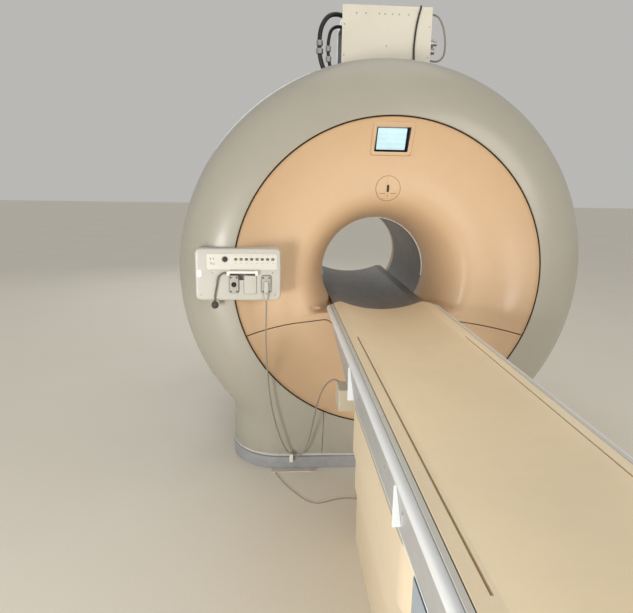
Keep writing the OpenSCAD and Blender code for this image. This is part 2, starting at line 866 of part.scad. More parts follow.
wire_route = [[-572, -925, 2], [-564, -948, 2], [-554, -972, 2], [-543, -997, 2], [-531, -1024, 2],
    [-517, -1052, 2], [-501, -1082, 2], [-483, -1113, 2], [-462, -1146, 2], [-440, -1177, 2],
    [-415, -1205, 2], [-387, -1223, 2], [-356, -1227, 2], [-325, -1217, 2], [-295, -1204, 2],
    [-262, -1194, 2], [-227, -1190, 2], [-192, -1192, 2], [-160, -1203, 2], [-133, -1226, 2],
    [-112, -1258, 2], [-98, -1296, 2], [-90, -1336, 2], [-86, -1378, 2], [-84, -1420, 2],
    [-84, -1460, 2]];

// One ring of a swept tube, square to the direction of the route
function unit(v) = v / norm(v);
function route_way(p, i) = unit(p[min(i + 1, len(p) - 1)] - p[max(i - 1, 0)]);
function ring_at(p, i, r, sides) =
    let (d = route_way(p, i), s = unit(cross(d, abs(d[2]) > 0.9 ? [0, 1, 0] : [0, 0, 1])),
        t = cross(s, d))
    [for (k = [0:sides - 1]) p[i] + r * (cos(360 * k / sides) * s + sin(360 * k / sides) * t)];

// Points between the hand-chosen ones, on a smooth curve through them
function mid_point(p, i, u) =
    let (a = p[max(i - 1, 0)], b = p[i], c = p[i + 1], d = p[min(i + 2, len(p) - 1)])
    0.5 * (2 * b + (c - a) * u + (2 * a - 5 * b + 4 * c - d) * u * u
        + (3 * b - a - 3 * c + d) * u * u * u);
function smooth(p, n) = concat([for (i = [0:len(p) - 2]) for (k = [0:n - 1]) mid_point(p, i, k / n)],
    [p[len(p) - 1]]);

module swept_tube(p, d, sides) {
    n = len(p);
    polyhedron(
        points = [for (i = [0:n - 1]) each ring_at(p, i, d / 2, sides)],
        faces = concat([[for (k = [0:sides - 1]) k]],
            [for (i = [0:n - 2]) for (k = [0:sides - 1]) let (m = (k + 1) % sides)
                [i * sides + k, (i + 1) * sides + k, (i + 1) * sides + m, i * sides + m]],
            [[for (k = [sides - 1:-1:0]) (n - 1) * sides + k]]));
}

module call_tube() {
    color([0.45, 0.42, 0.38]) swept_tube(smooth(tube_route, 2), tube_d, 10);
}

module call_bulb() {
    color([0.35, 0.33, 0.30]) translate(bulb_place) rotate_extrude() polygon(concat(
        [[0, -22]], [for (a = [-75:15:60]) [18 * cos(a), -3 + 19 * sin(a)]],
        [[6, 20], [0, 20]]));
}

module panel_cable() {
    color([0.55, 0.52, 0.47]) swept_tube(smooth(cable_route, 2), cable_d, 8);
}

module panel_plug() {
    color([0.70, 0.70, 0.68]) translate([cable_route[0][0], cable_route[0][1], 0]) {
        translate([0, 0, cable_route[0][2]]) cylinder(r = 6, h = 12);
        translate([0, 0, cable_route[0][2] + 12]) cylinder(r = 9, h = socket_z - cable_route[0][2] - 12);
    }
}

module table_plug() {
    end = cable_route[len(cable_route) - 1];
    sleeve = 10;
    color([0.25, 0.24, 0.23]) translate([end[0], end[1], end[2]]) rotate([90, 0, 0]) {
        cylinder(r = 6, h = sleeve);
        translate([0, 0, sleeve]) cylinder(r = 10, h = end[1] - socket_box_y - sleeve);
    }
}

// Clip that stands up from the plinth; its hole slopes as the cable does there
module cable_clip() {
    w = 18;
    slope = 33;
    rise = 16;
    low = plinth_h - rise;
    front = -pedestal_reach - plinth_out;
    color([0.93, 0.93, 0.90]) difference() {
        translate([clip_place[0] - w / 2, clip_place[1] - cable_d, low])
            cube([w, front - clip_place[1] + cable_d, clip_place[2] - low]);
        translate(clip_place) rotate([0, slope, 0]) across(cable_d / 2 + 2, 3 * w);
    }
}

module floor_wire() {
    color([0.45, 0.40, 0.33]) swept_tube(smooth(wire_route, 2), wire_d, 8);
}

module threshold_plate() {
    back = -pedestal_reach - plinth_out - seat;
    color([0.72, 0.68, 0.60]) translate([-594, -925, 0]) cube([240, back + 925, 5]);
}

// Table
flange_low = board_h - top_t;
// The tabletop's edges lean in below to stay clear of the round bore
top_low_x = sqrt(pow(bore_r - 4.5, 2) - pow(bore_h - flange_low, 2));
clamp_y = top_foot_y + 255;
belt_axis_z = flange_low - top_dip - glide_gap - belt_t - pulley_r - 4;
belt_head_y = clamp_y + top_travel + 60;
belt_foot_y = clamp_y - 60;

module top_section() {
    polygon(concat([[-top_low_x, flange_low], [-top_half_w, board_h - 2], [-top_half_w + 2, board_h]],
        dip_points(0), [[top_half_w - 2, board_h], [top_half_w, board_h - 2],
        [top_low_x, flange_low]], [for (k = [24:-1:0]) dip_points(top_t)[k]]));
}

module tabletop() {
    slot_x = 230;
    slot_foot_y = top_foot_y + 329;
    slot_head_y = top_head_y - 684;
    color(beige) difference() {
        union() {
            intersection() {
                along_bore(top_foot_y, top_head_y) top_section();
                translate([0, (top_foot_y + top_head_y) / 2, flange_low - top_dip - 5])
                    linear_extrude(top_dip + top_t + 10) rounded_rect(2 * top_half_w, top_l, 70);
            }
            // Belt clamp under the hollow
            translate([-belt_w / 2, clamp_y - 30, belt_axis_z + pulley_r + belt_t + seat])
                cube([belt_w, 60, 8]);
        }
        both_sides() {
            translate([slot_x - slot_w / 2, slot_foot_y, board_h - 8])
                cube([slot_w, slot_head_y - slot_foot_y, 9]);
            translate([slot_x - slot_w, slot_foot_y, board_h - 12])
                cube([2 * slot_w, slot_head_y - slot_foot_y, 6]);
        }
    }
}

frame_low = band_z + 6;
frame_head_y = -front_flat - 16;
rail_x = 232;
rail_w = 16;
// Height at which the side webs step in behind the leaning side bands
web_z = band_z + 96;
web = 10;
lip = 13;
pan_head_y = belt_head_y + 125;

module table_frame() {
    color(pale_grey) difference() {
        union() {
            along_bore(frame_end_y, frame_head_y) {
                both_sides() {
                    // Side web with the lip beside the tabletop
                    translate([frame_half_w - lip, web_z]) square([lip, board_h - 2 - web_z]);
                    // Glide rail under the tabletop's flange
                    translate([rail_x - rail_w / 2, web_z])
                        square([rail_w, flange_low - glide_gap - web_z]);
                    translate([rail_x - rail_w / 2, web_z])
                        square([frame_half_w - rail_x + rail_w / 2, web]);
                }
            }
            along_bore(frame_end_y, pan_head_y) {
                both_sides() translate([frame_half_w - 2 * lip, frame_low])
                    square([web, web_z + web - frame_low]);
                translate([-frame_half_w + lip + web, frame_low])
                    square([2 * (frame_half_w - lip - web), 6]);
            }
            // Cross plate that ties the two glide rails at the head end
            translate([-rail_x, frame_head_y - 40, web_z]) cube([2 * rail_x, 40, 4]);
            // Bearing blocks of the two belt pulleys
            for (y = [belt_head_y, belt_foot_y]) {
                both_sides() translate([bearing_x, y - 18, frame_low])
                    cube([14, 36, belt_axis_z + 20 - frame_low]);
            }
        }
        for (y = [belt_head_y, belt_foot_y]) {
            translate([0, y, belt_axis_z]) across(8 + shaft_gap, 2 * bearing_x + 40);
        }
    }
}

bearing_x = 26;

module pulley() {
    across(pulley_r, belt_w + 2);
    both_sides() across(pulley_r + 1.5, 2, belt_w / 2 + 2);
    across(8, 2 * bearing_x + 28);
}

module drive_pulley() {
    color(steel) translate([0, belt_foot_y, belt_axis_z]) pulley();
}

module idler_pulley() {
    color(steel) translate([0, belt_head_y, belt_axis_z]) pulley();
}

module belt_outline(r) {
    for (y = [belt_foot_y, belt_head_y]) {
        translate([y, 0]) circle(r, $fn = 64);
    }
    translate([belt_foot_y, -r]) square([belt_head_y - belt_foot_y, 2 * r]);
}

module drive_belt() {
    color([0.12, 0.12, 0.12]) translate([-belt_w / 2, 0, belt_axis_z]) rotate([90, 0, 90])
        linear_extrude(belt_w) difference() {
            belt_outline(pulley_r + belt_t);
            belt_outline(pulley_r + 0.25);
        }
}

module drive_motor() {
    x = bearing_x + 14 + seat;
    l = rail_x - rail_w / 2 - x - 44;
    color([0.25, 0.26, 0.28]) translate([0, belt_foot_y, belt_axis_z]) {
        difference() {
            across(pulley_r + 1.5, 40, x + 20);
            across(8 + shaft_gap, 2 * x + 40);
        }
        across(pulley_r, l, x + 40 + l / 2);
    }
}

rail_drop = 34;
rail_out = 6;

module bumper_rails() {
    r = rail_drop - 20;
    color([0.78, 0.80, 0.82]) both_sides() along_bore(frame_end_y, frame_head_y) {
        intersection() {
            translate([frame_half_w + seat, board_h - 50]) square([22, 50]);
            union() {
                translate([frame_half_w + rail_out, board_h - 20]) circle(r, $fn = 48);
                translate([frame_half_w + rail_out - r, board_h - rail_drop])
                    square([2 * r, rail_drop - 20]);
            }
        }
    }
}

band_t = 9;
band_top = board_h - rail_drop - seat;
// Outer faces of the side bands lean in from their top to their lower edge
band_top_x = frame_half_w + 17.5;
band_low_x = frame_half_w - 4;
function band_x(z) = band_low_x + (band_top_x - band_low_x) * (z - band_z) / (band_top - band_z);

module side_bands() {
    color([0.62, 0.63, 0.64]) both_sides() intersection() {
        along_bore(frame_end_y, band_head_y) polygon([[band_low_x - band_t, band_z],
            [band_low_x, band_z], [band_top_x, band_top], [band_top_x - band_t, band_top]]);
        translate([band_low_x - band_t - 1, 0, 0]) rotate([90, 0, 90]) linear_extrude(60) polygon([
            [frame_end_y, band_z], [band_head_y - 370, band_z], [band_head_y - 110, band_top - 74],
            [band_head_y - 40, band_top - 56], [band_head_y - 10, band_top - 32],
            [band_head_y, band_top], [frame_end_y, band_top]]);
    }
}

band_head_y = -1070;

// Cover of the table base: a rounded box, open below, its lid cut out round the lift columns
module table_cover(half_w, l, r, low, high, opening_w, opening_l) {
    difference() {
        translate([0, base_foot_y + l / 2, low]) linear_extrude(high - low)
            rounded_rect(2 * half_w, l, r);
        translate([0, base_foot_y + l / 2, low - 1]) linear_extrude(high - low + 1 - table_wall)
            rounded_rect(2 * (half_w - table_wall), l - 2 * table_wall, r - table_wall);
        for (y = column_places) {
            translate([-opening_w / 2 - 2, y - opening_l / 2 - 2, low])
                cube([opening_w + 4, opening_l + 4, high - low + 1]);
        }
    }
}

cover_top = band_z - seat;
column_inset = 270;
column_places = [base_foot_y + column_inset, base_foot_y + column_inset + column_pitch];

module upper_table_cover() {
    color(beige) table_cover(upper_half_w, upper_cover_l, 110, upper_low, cover_top,
        inner_column_w, inner_column_l);
}

module middle_table_cover() {
    color(beige) table_cover(middle_half_w, middle_cover_l, 100, middle_low, upper_low - seat,
        inner_column_w, inner_column_l);
}

module lower_table_cover() {
    color(beige) table_cover(lower_half_w, lower_cover_l, 70, 0, middle_low - seat, column_w, column_l);
}

module foot_end_cover() {
    low = 60;
    l = base_foot_y - frame_end_y - 40;
    color(blue_grey) translate([0, base_foot_y - seam_gap - l / 2, low])
        linear_extrude(cover_top - low) difference() {
            rounded_rect(2 * upper_half_w, l, 30);
            rounded_rect(2 * (upper_half_w - table_wall), l - 2 * table_wall, 26);
        }
}

// Upright brackets on the leaning bands: place along the table, and depth below the rail
bracket_places = [[-1712, 130], [-2520, 108]];
bracket_out = frame_half_w + 24;

module wedge_brackets() {
    top = band_top - seat;
    color([0.90, 0.93, 0.94]) for (place = bracket_places) {
        both_sides() along_bore(place[0] - 3, place[0] + 3) polygon([
            [band_x(top - place[1]) + seat, top - place[1]], [bracket_out, top - place[1]],
            [bracket_out, top], [band_x(top) + seat, top]]);
    }
}

socket_box_x = 320;
socket_box_y = -1465;

module table_socket_box() {
    color([0.84, 0.84, 0.80]) translate([-socket_box_x, socket_box_y - 110, cover_top - 90])
        cube([84, 110, 90]);
}

module lift_column() {
    foot = 30;
    step = 450;
    color(steel) for (y = column_places) {
        translate([-column_w / 2, y - column_l / 2, foot]) cube([column_w, column_l, step - foot]);
        translate([-inner_column_w / 2, y - inner_column_l / 2, step])
            cube([inner_column_w, inner_column_l, frame_low - seat - step]);
    }
}

module table_base_frame() {
    bolt_inset = 80;
    head = 60;
    foot_x = foot_frame_w / 2 - bolt_inset / 2;
    color(dark_grey) difference() {
        translate([-foot_frame_w / 2, base_foot_y + head, 6])
            cube([foot_frame_w, foot_frame_l, 24 - seat]);
        for (y = [bolt_inset, foot_frame_l - bolt_inset]) {
            for (x = [-foot_x, foot_x]) {
                translate([x, base_foot_y + head + y, 0]) cylinder(d = 14, h = 40);
            }
        }
    }
}

magnet_base();
cryostat();
gradient_coil();
rf_body_coil();
bore_liner();
bore_bridge();
front_ring_cover();
front_skirt_cover();
front_panel();
lower_front_panel();
display_frame();
display_bezel();
display_screen();
alignment_light();
plinth_skirt();
rear_ring_cover();
rear_panel();
left_side_cover();
right_side_cover();
turret_frame();
turret_front_plate();
cold_head();
quench_outlet();
control_panel_housing();
key_strip();
round_button();
key(1);  // key_1
key(2);  // key_2
key(3);  // key_3
key(4);  // key_4
key(5);  // key_5
key(6);  // key_6
key(7);  // key_7
key(8);  // key_8
panel_handle();
panel_sockets();
call_bulb();
call_tube();
panel_cable();
panel_plug();
table_plug();
cable_clip();
floor_wire();
tabletop();
table_frame();
bumper_rails();
side_bands();
upper_table_cover();
middle_table_cover();
lower_table_cover();
foot_end_cover();
wedge_brackets();
table_socket_box();
lift_column();
table_base_frame();
drive_motor();
drive_pulley();
idler_pulley();
drive_belt();
threshold_plate();
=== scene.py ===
import math
import random

import bmesh
import bpy
import numpy as np
from mathutils import Matrix, Vector


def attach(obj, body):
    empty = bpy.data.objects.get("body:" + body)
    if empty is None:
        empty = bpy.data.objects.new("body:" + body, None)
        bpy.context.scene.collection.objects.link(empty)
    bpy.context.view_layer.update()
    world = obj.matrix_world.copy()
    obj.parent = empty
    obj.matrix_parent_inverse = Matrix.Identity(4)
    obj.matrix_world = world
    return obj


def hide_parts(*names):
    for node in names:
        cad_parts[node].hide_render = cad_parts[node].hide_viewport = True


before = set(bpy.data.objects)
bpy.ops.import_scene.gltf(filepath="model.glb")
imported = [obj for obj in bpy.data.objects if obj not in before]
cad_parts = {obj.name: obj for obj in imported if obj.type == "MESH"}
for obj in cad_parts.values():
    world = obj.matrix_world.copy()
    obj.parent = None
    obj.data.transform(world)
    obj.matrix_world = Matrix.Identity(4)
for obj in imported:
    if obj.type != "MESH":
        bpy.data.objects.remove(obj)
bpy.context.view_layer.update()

# Sizes in metres, as in the CAD source. +Y runs into the bore, the floor is at z = 0.
BORE_H = 1.031          # the bore's axis
RING_H = 1.059          # centre of the ring cover and of its seam
RING_R = 1.066
SEAM_R = 0.780          # joint between ring cover and panel
FLAT_R = 0.512          # the panel's flat ends here and the dish begins
MOUTH_R = 0.477
BORE_R = 0.300
THROAT = 0.400          # the flare meets the bore liner here
SHOULDER = 0.190
DISH_DEPTH = 0.135
SKIRT_HALF = 0.318
PEDESTAL_HALF = 0.805
PEDESTAL_R = 0.270
PEDESTAL_BLEND = 0.05
LIP_DEPTH = 0.016       # the covers turn in this far at their seam
WALL = 0.008
LEDGE = 0.850
LEDGE_FILLET = 0.018
CHANNEL_LOW = 0.8117    # low side of the bore bridge's room
PLINTH = 0.0663
DISPLAY_Z = 1.734
LIGHT_Z = 1.499
LIGHT_R = 0.0632
LIGHT_HOLE_R = 0.0636
# Forward from the magnet's middle: rim, flat, back edge of the cover, corner of its section, pedestal
FRONT = {"side": -1, "reach": 0.920, "flat": 0.785, "back": 0.520, "centre": 0.520 + 0.04, "pedestal": 0.865}
REAR = {"side": 1, "reach": 0.800, "flat": 0.740, "back": 0.420, "centre": 0.420 + 0.04, "pedestal": 0.745}

# Sizes that only the render has
PANEL_WALL = 0.002
BACK_WEB = 0.070
EDGE_ROUND = 0.0015     # back edge of a ring cover
VISIBLE_GAP = 0.0025
HIGHLIGHT_LOW, HIGHLIGHT_HIGH, HIGHLIGHT_WALL = 0.0005, 0.0125, 0.0025     # light strip over the plinth, painted as the highlight of its lit top
SIDE_COVER_Y = -0.530   # the painted highlight strip ends at the side covers


# ---------------------------------------------------------------- node helpers
def put(tree, kind, values=None, **attrs):
    """A new node with its settings; a value that is a socket is linked."""
    made = tree.nodes.new(kind)
    for key, value in attrs.items():
        setattr(made, key, value)
    for key, value in (values or {}).items():
        socket = made.inputs[key]
        if isinstance(value, bpy.types.NodeSocket):
            tree.links.new(value, socket)
        else:
            socket.default_value = value
    return made


def new_group(name, kind, inputs, outputs):
    """A node group with named sockets, and its input and output nodes."""
    tree = bpy.data.node_groups.new(name, kind)
    for label, socket, value in inputs:
        made = tree.interface.new_socket(label, in_out="INPUT", socket_type=socket)
        if value is not None:
            made.default_value = value
    for label, socket in outputs:
        tree.interface.new_socket(label, in_out="OUTPUT", socket_type=socket)
    return tree, tree.nodes.new("NodeGroupInput"), tree.nodes.new("NodeGroupOutput")


def give_out(tree, out, **results):
    """Links a group's results to its output."""
    for key, value in results.items():
        tree.links.new(value, out.inputs[key])
    return tree


def mix_colour(tree, factor, a, b, blend="MIX"):
    """Colour a turned into b; 6, 7 and 2 are the node's colour sockets."""
    made = put(tree, "ShaderNodeMix", {0: factor, 6: a, 7: b}, data_type="RGBA", blend_type=blend)
    return made.outputs[2]


def sums(tree, operation, a, b, clamp=False):
    """Result of a Math node."""
    return put(tree, "ShaderNodeMath", {0: a, 1: b}, operation=operation, use_clamp=clamp).outputs[0]


def noise(tree, where, scale, detail=3.0, rough=0.5):
    """A cloudy value between 0 and 1."""
    return put(tree, "ShaderNodeTexNoise", {"Vector": where, "Scale": scale, "Detail": detail,
                                            "Roughness": rough}).outputs["Fac"]


def spread(tree, value, low, high, to_low, to_high):
    """A value stretched from one range to another."""
    return put(tree, "ShaderNodeMapRange", {"Value": value, "From Min": low, "From Max": high,
                                            "To Min": to_low, "To Max": to_high}).outputs[0]


def linear(r, g, b):
    """A colour as seen, 0 to 255, turned into scene values."""
    def one(v):
        v /= 255
        return v / 12.92 if v <= 0.04045 else ((v + 0.055) / 1.055) ** 2.4
    return (one(r), one(g), one(b), 1.0)


# --------------------------------------------------------------- shader groups
def make_moulded():
    """Moulded or painted surface: mottled colour, orange peel, smudges, edge wear."""
    tree, given, out = new_group("moulded_surface", "ShaderNodeTree", [
        ("Colour", "NodeSocketColor", (0.8, 0.8, 0.8, 1)), ("Roughness", "NodeSocketFloat", 0.4),
        ("Mottle", "NodeSocketFloat", 0.05), ("Grain", "NodeSocketFloat", 0.2),
        ("Grain Size", "NodeSocketFloat", 500.0), ("Smudge", "NodeSocketFloat", 0.15),
        ("Wear", "NodeSocketFloat", 0.2)],
        [("Colour", "NodeSocketColor"), ("Roughness", "NodeSocketFloat"), ("Normal", "NodeSocketVector")])
    where = put(tree, "ShaderNodeTexCoord").outputs["Object"]
    coarse = noise(tree, where, 2.1, 4.0, 0.6)
    patch = noise(tree, where, 11.0, 6.0, 0.65)
    tone = sums(tree, "ADD", sums(tree, "MULTIPLY", coarse, 0.65), sums(tree, "MULTIPLY", patch, 0.35))
    value = sums(tree, "ADD", 1.0, sums(tree, "MULTIPLY", sums(tree, "SUBTRACT", tone, 0.5),
                                        sums(tree, "MULTIPLY", given.outputs["Mottle"], 4.0)))
    shade = put(tree, "ShaderNodeHueSaturation", {"Value": value, "Color": given.outputs["Colour"]}).outputs[0]
    edge = put(tree, "ShaderNodeNewGeometry").outputs["Pointiness"]
    worn = sums(tree, "MULTIPLY", spread(tree, edge, 0.53, 0.60, 0.0, 1.0),
                spread(tree, noise(tree, where, 60.0, 5.0, 0.7), 0.42, 0.62, 0.0, 1.0))
    worn = sums(tree, "MULTIPLY", worn, given.outputs["Wear"], True)
    pale = mix_colour(tree, 0.45, shade, (0.92, 0.92, 0.90, 1))
    shade = mix_colour(tree, worn, shade, pale)
    streaks = noise(tree, put(tree, "ShaderNodeMapping", {"Vector": where, "Scale": (9, 9, 2.5)}).outputs[0],
                    3.0, 6.0, 0.72)
    rough = sums(tree, "ADD", given.outputs["Roughness"],
                 sums(tree, "MULTIPLY", sums(tree, "SUBTRACT", streaks, 0.5),
                      sums(tree, "MULTIPLY", given.outputs["Smudge"], 2.0)), True)
    peel = noise(tree, where, given.outputs["Grain Size"], 2.0, 0.5)
    bump = put(tree, "ShaderNodeBump", {"Strength": given.outputs["Grain"], "Distance": 0.0004, "Height": peel})
    return give_out(tree, out, Colour=shade, Roughness=rough, Normal=bump.outputs[0])


def make_dusty():
    """Dust that settles on what faces up, and dirt just above the floor."""
    tree, given, out = new_group("settled_dust", "ShaderNodeTree", [
        ("Colour", "NodeSocketColor", (0.8, 0.8, 0.8, 1)), ("Roughness", "NodeSocketFloat", 0.4),
        ("Dust", "NodeSocketFloat", 0.15), ("Floor Dirt", "NodeSocketFloat", 0.2)],
        [("Colour", "NodeSocketColor"), ("Roughness", "NodeSocketFloat")])
    where = put(tree, "ShaderNodeTexCoord").outputs["Object"]
    facing = put(tree, "ShaderNodeNewGeometry").outputs["Normal"]
    up = put(tree, "ShaderNodeSeparateXYZ", {0: facing}).outputs[2]
    high = put(tree, "ShaderNodeSeparateXYZ", {0: where}).outputs[2]
    cloud = noise(tree, where, 7.0, 8.0, 0.7)
    dust = sums(tree, "MULTIPLY", spread(tree, up, 0.55, 1.0, 0.0, 1.0),
                spread(tree, cloud, 0.35, 0.7, 0.1, 1.0))
    dust = sums(tree, "MULTIPLY", dust, given.outputs["Dust"], True)
    low = sums(tree, "MULTIPLY", spread(tree, high, 0.0, 0.16, 1.0, 0.0),
               spread(tree, noise(tree, where, 16.0, 6.0, 0.7), 0.35, 0.7, 0.0, 1.0))
    low = sums(tree, "MULTIPLY", low, given.outputs["Floor Dirt"], True)
    shade = mix_colour(tree, dust, given.outputs["Colour"], (0.48, 0.45, 0.41, 1))
    shade = mix_colour(tree, low, shade, (0.16, 0.14, 0.12, 1))
    rough = sums(tree, "ADD", given.outputs["Roughness"], sums(tree, "MULTIPLY", dust, 0.5), True)
    return give_out(tree, out, Colour=shade, Roughness=rough)


def make_brushed():
    """Brushed or rolled metal: fine lines along the part, with cloudy tarnish."""
    tree, given, out = new_group("brushed_metal", "ShaderNodeTree", [
        ("Colour", "NodeSocketColor", (0.6, 0.6, 0.6, 1)), ("Roughness", "NodeSocketFloat", 0.35),
        ("Line Scale", "NodeSocketVector", (600, 8, 600)), ("Line Depth", "NodeSocketFloat", 0.25),
        ("Tarnish", "NodeSocketFloat", 0.3)],
        [("Colour", "NodeSocketColor"), ("Roughness", "NodeSocketFloat"), ("Normal", "NodeSocketVector")])
    where = put(tree, "ShaderNodeTexCoord").outputs["Object"]
    along = put(tree, "ShaderNodeMapping", {"Vector": where, "Scale": given.outputs["Line Scale"]}).outputs[0]
    lines = noise(tree, along, 1.0, 3.0)
    cloud = spread(tree, noise(tree, where, 9.0, 7.0, 0.68), 0.4, 0.72, 0.0, 1.0)
    dull = sums(tree, "MULTIPLY", cloud, given.outputs["Tarnish"], True)
    shade = mix_colour(tree, dull, given.outputs["Colour"], (0.20, 0.18, 0.15, 1))
    rough = sums(tree, "ADD", given.outputs["Roughness"], sums(tree, "ADD", sums(tree, "MULTIPLY", dull, 0.4),
                 sums(tree, "MULTIPLY", sums(tree, "SUBTRACT", lines, 0.5), 0.35)), True)
    bump = put(tree, "ShaderNodeBump", {"Strength": given.outputs["Line Depth"], "Distance": 0.0002,
                                        "Height": lines})
    return give_out(tree, out, Colour=shade, Roughness=rough, Normal=bump.outputs[0])


MOULDED, DUSTY, BRUSHED = make_moulded(), make_dusty(), make_brushed()
MATERIALS = {}


def principled(name):
    """The tree and the shader of a new material."""
    made = bpy.data.materials.new(name)
    made.use_nodes = True
    tree = made.node_tree
    tree.nodes.clear()
    shader = tree.nodes.new("ShaderNodeBsdfPrincipled")
    out = tree.nodes.new("ShaderNodeOutputMaterial")
    tree.links.new(shader.outputs[0], out.inputs[0])
    MATERIALS[name] = made
    return tree, shader


def dusted(name, group, settings, dust, dirt):
    """A material of one of the surface groups under settled dust."""
    tree, shader = principled(name)
    base = put(tree, "ShaderNodeGroup", settings, node_tree=group)
    top = put(tree, "ShaderNodeGroup", {"Dust": dust, "Floor Dirt": dirt, "Colour": base.outputs["Colour"],
                                        "Roughness": base.outputs["Roughness"]}, node_tree=DUSTY)
    tree.links.new(top.outputs["Colour"], shader.inputs["Base Color"])
    tree.links.new(top.outputs["Roughness"], shader.inputs["Roughness"])
    tree.links.new(base.outputs["Normal"], shader.inputs["Normal"])
    return shader


def plastic(name, colour, rough, mottle, grain, size, smudge, wear, dust, dirt=0.0, coat=0.0, specular=0.5):
    settings = {"Colour": linear(*colour), "Roughness": rough, "Mottle": mottle, "Grain": grain,
                "Grain Size": size, "Smudge": smudge, "Wear": wear}
    shader = dusted(name, MOULDED, settings, dust, dirt)
    shader.inputs["Coat Weight"].default_value = coat
    shader.inputs["Coat Roughness"].default_value = 0.12
    shader.inputs["Specular IOR Level"].default_value = specular


def metal(name, colour, rough, lines, depth, tarnish, metallic=1.0):
    settings = {"Colour": linear(*colour), "Roughness": rough, "Line Scale": lines, "Line Depth": depth,
                "Tarnish": tarnish}
    shader = dusted(name, BRUSHED, settings, dust=0.1, dirt=0.3)
    shader.inputs["Metallic"].default_value = metallic


# Colour, roughness, mottle, grain, grain size, smudge, wear and dust, then floor dirt, coat and specular level
PLASTICS = {
    "ring_shell": ((170, 166, 153), 0.34, 0.05, 0.10, 260.0, 0.10, 0.1, 0.30, 0.5, 0.15),
    "panel_cream": ((219, 188, 153), 0.38, 0.035, 0.10, 300.0, 0.10, 0.1, 0.18, 0.2, 0.10),
    "liner_grey": ((116, 113, 110), 0.42, 0.06, 0.15, 420.0, 0.20, 0.1, 0.12),
    "bridge_grey": ((128, 124, 118), 0.45, 0.08, 0.25, 520.0, 0.25, 0.2, 0.10),
    "plinth_blue": ((160, 162, 166), 0.38, 0.06, 0.25, 500.0, 0.2, 0.3, 0.35, 0.4),
    "coil_resin": ((150, 112, 66), 0.35, 0.12, 0.3, 160.0, 0.2, 0.2, 0.1),
    "coil_board": ((188, 172, 132), 0.5, 0.08, 0.2, 300.0, 0.2, 0.2, 0.1),
    "bezel_black": ((22, 22, 23), 0.35, 0.1, 0.25, 700.0, 0.2, 0.1, 0.15),
    "light_disc": ((221, 189, 153), 0.28, 0.02, 0.05, 600.0, 0.1, 0.05, 0.05),
    "turret_white": ((226, 221, 206), 0.42, 0.05, 0.2, 350.0, 0.15, 0.3, 0.25),
    "panel_grey": ((199, 198, 190), 0.33, 0.03, 0.12, 420.0, 0.12, 0.15, 0.12, 0.0, 0.2),
    "strip_light": ((222, 219, 210), 0.4, 0.03, 0.08, 700.0, 0.12, 0.1, 0.08),
    "key_dark": ((84, 83, 80), 0.5, 0.06, 0.3, 900.0, 0.2, 0.5, 0.05),
    "button_black": ((26, 26, 27), 0.42, 0.1, 0.3, 900.0, 0.2, 0.5, 0.05),
    "handle_white": ((238, 237, 230), 0.35, 0.03, 0.1, 600.0, 0.15, 0.2, 0.12),
    "socket_grey": ((178, 177, 170), 0.42, 0.05, 0.2, 600.0, 0.15, 0.3, 0.1),
    "bulb_rubber": ((70, 66, 61), 0.62, 0.1, 0.4, 700.0, 0.2, 0.3, 0.15),
    "tube_rubber": ((112, 106, 96), 0.58, 0.1, 0.3, 800.0, 0.2, 0.1, 0.1),
    "cable_sleeve": ((150, 142, 128), 0.55, 0.08, 0.3, 900.0, 0.2, 0.1, 0.1, 0.3),
    "plug_grey": ((196, 196, 190), 0.45, 0.05, 0.2, 700.0, 0.15, 0.3, 0.1),
    "plug_dark": ((62, 60, 57), 0.5, 0.08, 0.3, 700.0, 0.2, 0.4, 0.1),
    "clip_white": ((238, 238, 230), 0.4, 0.04, 0.15, 600.0, 0.15, 0.2, 0.1, 0.3),
    "top_beige": ((245, 226, 190), 0.40, 0.05, 0.35, 900.0, 0.16, 0.35, 0.06),
    "frame_grey": ((208, 206, 198), 0.42, 0.04, 0.2, 500.0, 0.15, 0.3, 0.15),
    "rail_grey": ((226, 229, 231), 0.38, 0.04, 0.15, 500.0, 0.15, 0.3, 0.15),
    "cover_beige": ((224, 207, 178), 0.42, 0.05, 0.2, 420.0, 0.15, 0.25, 0.15, 0.2),
    "foot_blue": ((158, 168, 178), 0.42, 0.05, 0.2, 420.0, 0.15, 0.25, 0.2, 0.2),
    "bracket_white": ((232, 236, 238), 0.35, 0.03, 0.1, 600.0, 0.12, 0.25, 0.15),
    "box_white": ((200, 190, 168), 0.42, 0.04, 0.2, 500.0, 0.15, 0.3, 0.15),
    "motor_dark": ((62, 65, 69), 0.5, 0.1, 0.3, 400.0, 0.2, 0.5, 0.3),
    "belt_rubber": ((34, 34, 35), 0.65, 0.1, 0.4, 800.0, 0.2, 0.3, 0.2),
    # Painted highlight of the plinth's lit top
    "plinth_highlight": ((206, 205, 198), 0.4, 0.03, 0.1, 500.0, 0.1, 0.1, 0.2, 0.3),
    "dimple_shade": ((190, 150, 124), 0.5, 0.15, 0.1, 300.0, 0.1, 0.0, 0.0),
    "recess_shade": ((132, 130, 124), 0.5, 0.05, 0.1, 500.0, 0.1, 0.0, 0.0),
    # Painted shade, laid in the gaps where parts meet
    "gap_shade_dark": ((58, 44, 30), 0.8, 0.1, 0.2, 500.0, 0.0, 0.0, 0.0, 0.0, 0.0, 0.1),
    "hose_black": ((30, 30, 32), 0.5, 0.1, 0.3, 500.0, 0.2, 0.2, 0.35),
    "icon_grey": ((84, 86, 88), 0.5, 0.05, 0.1, 900.0, 0.1, 0.1, 0.05),
}
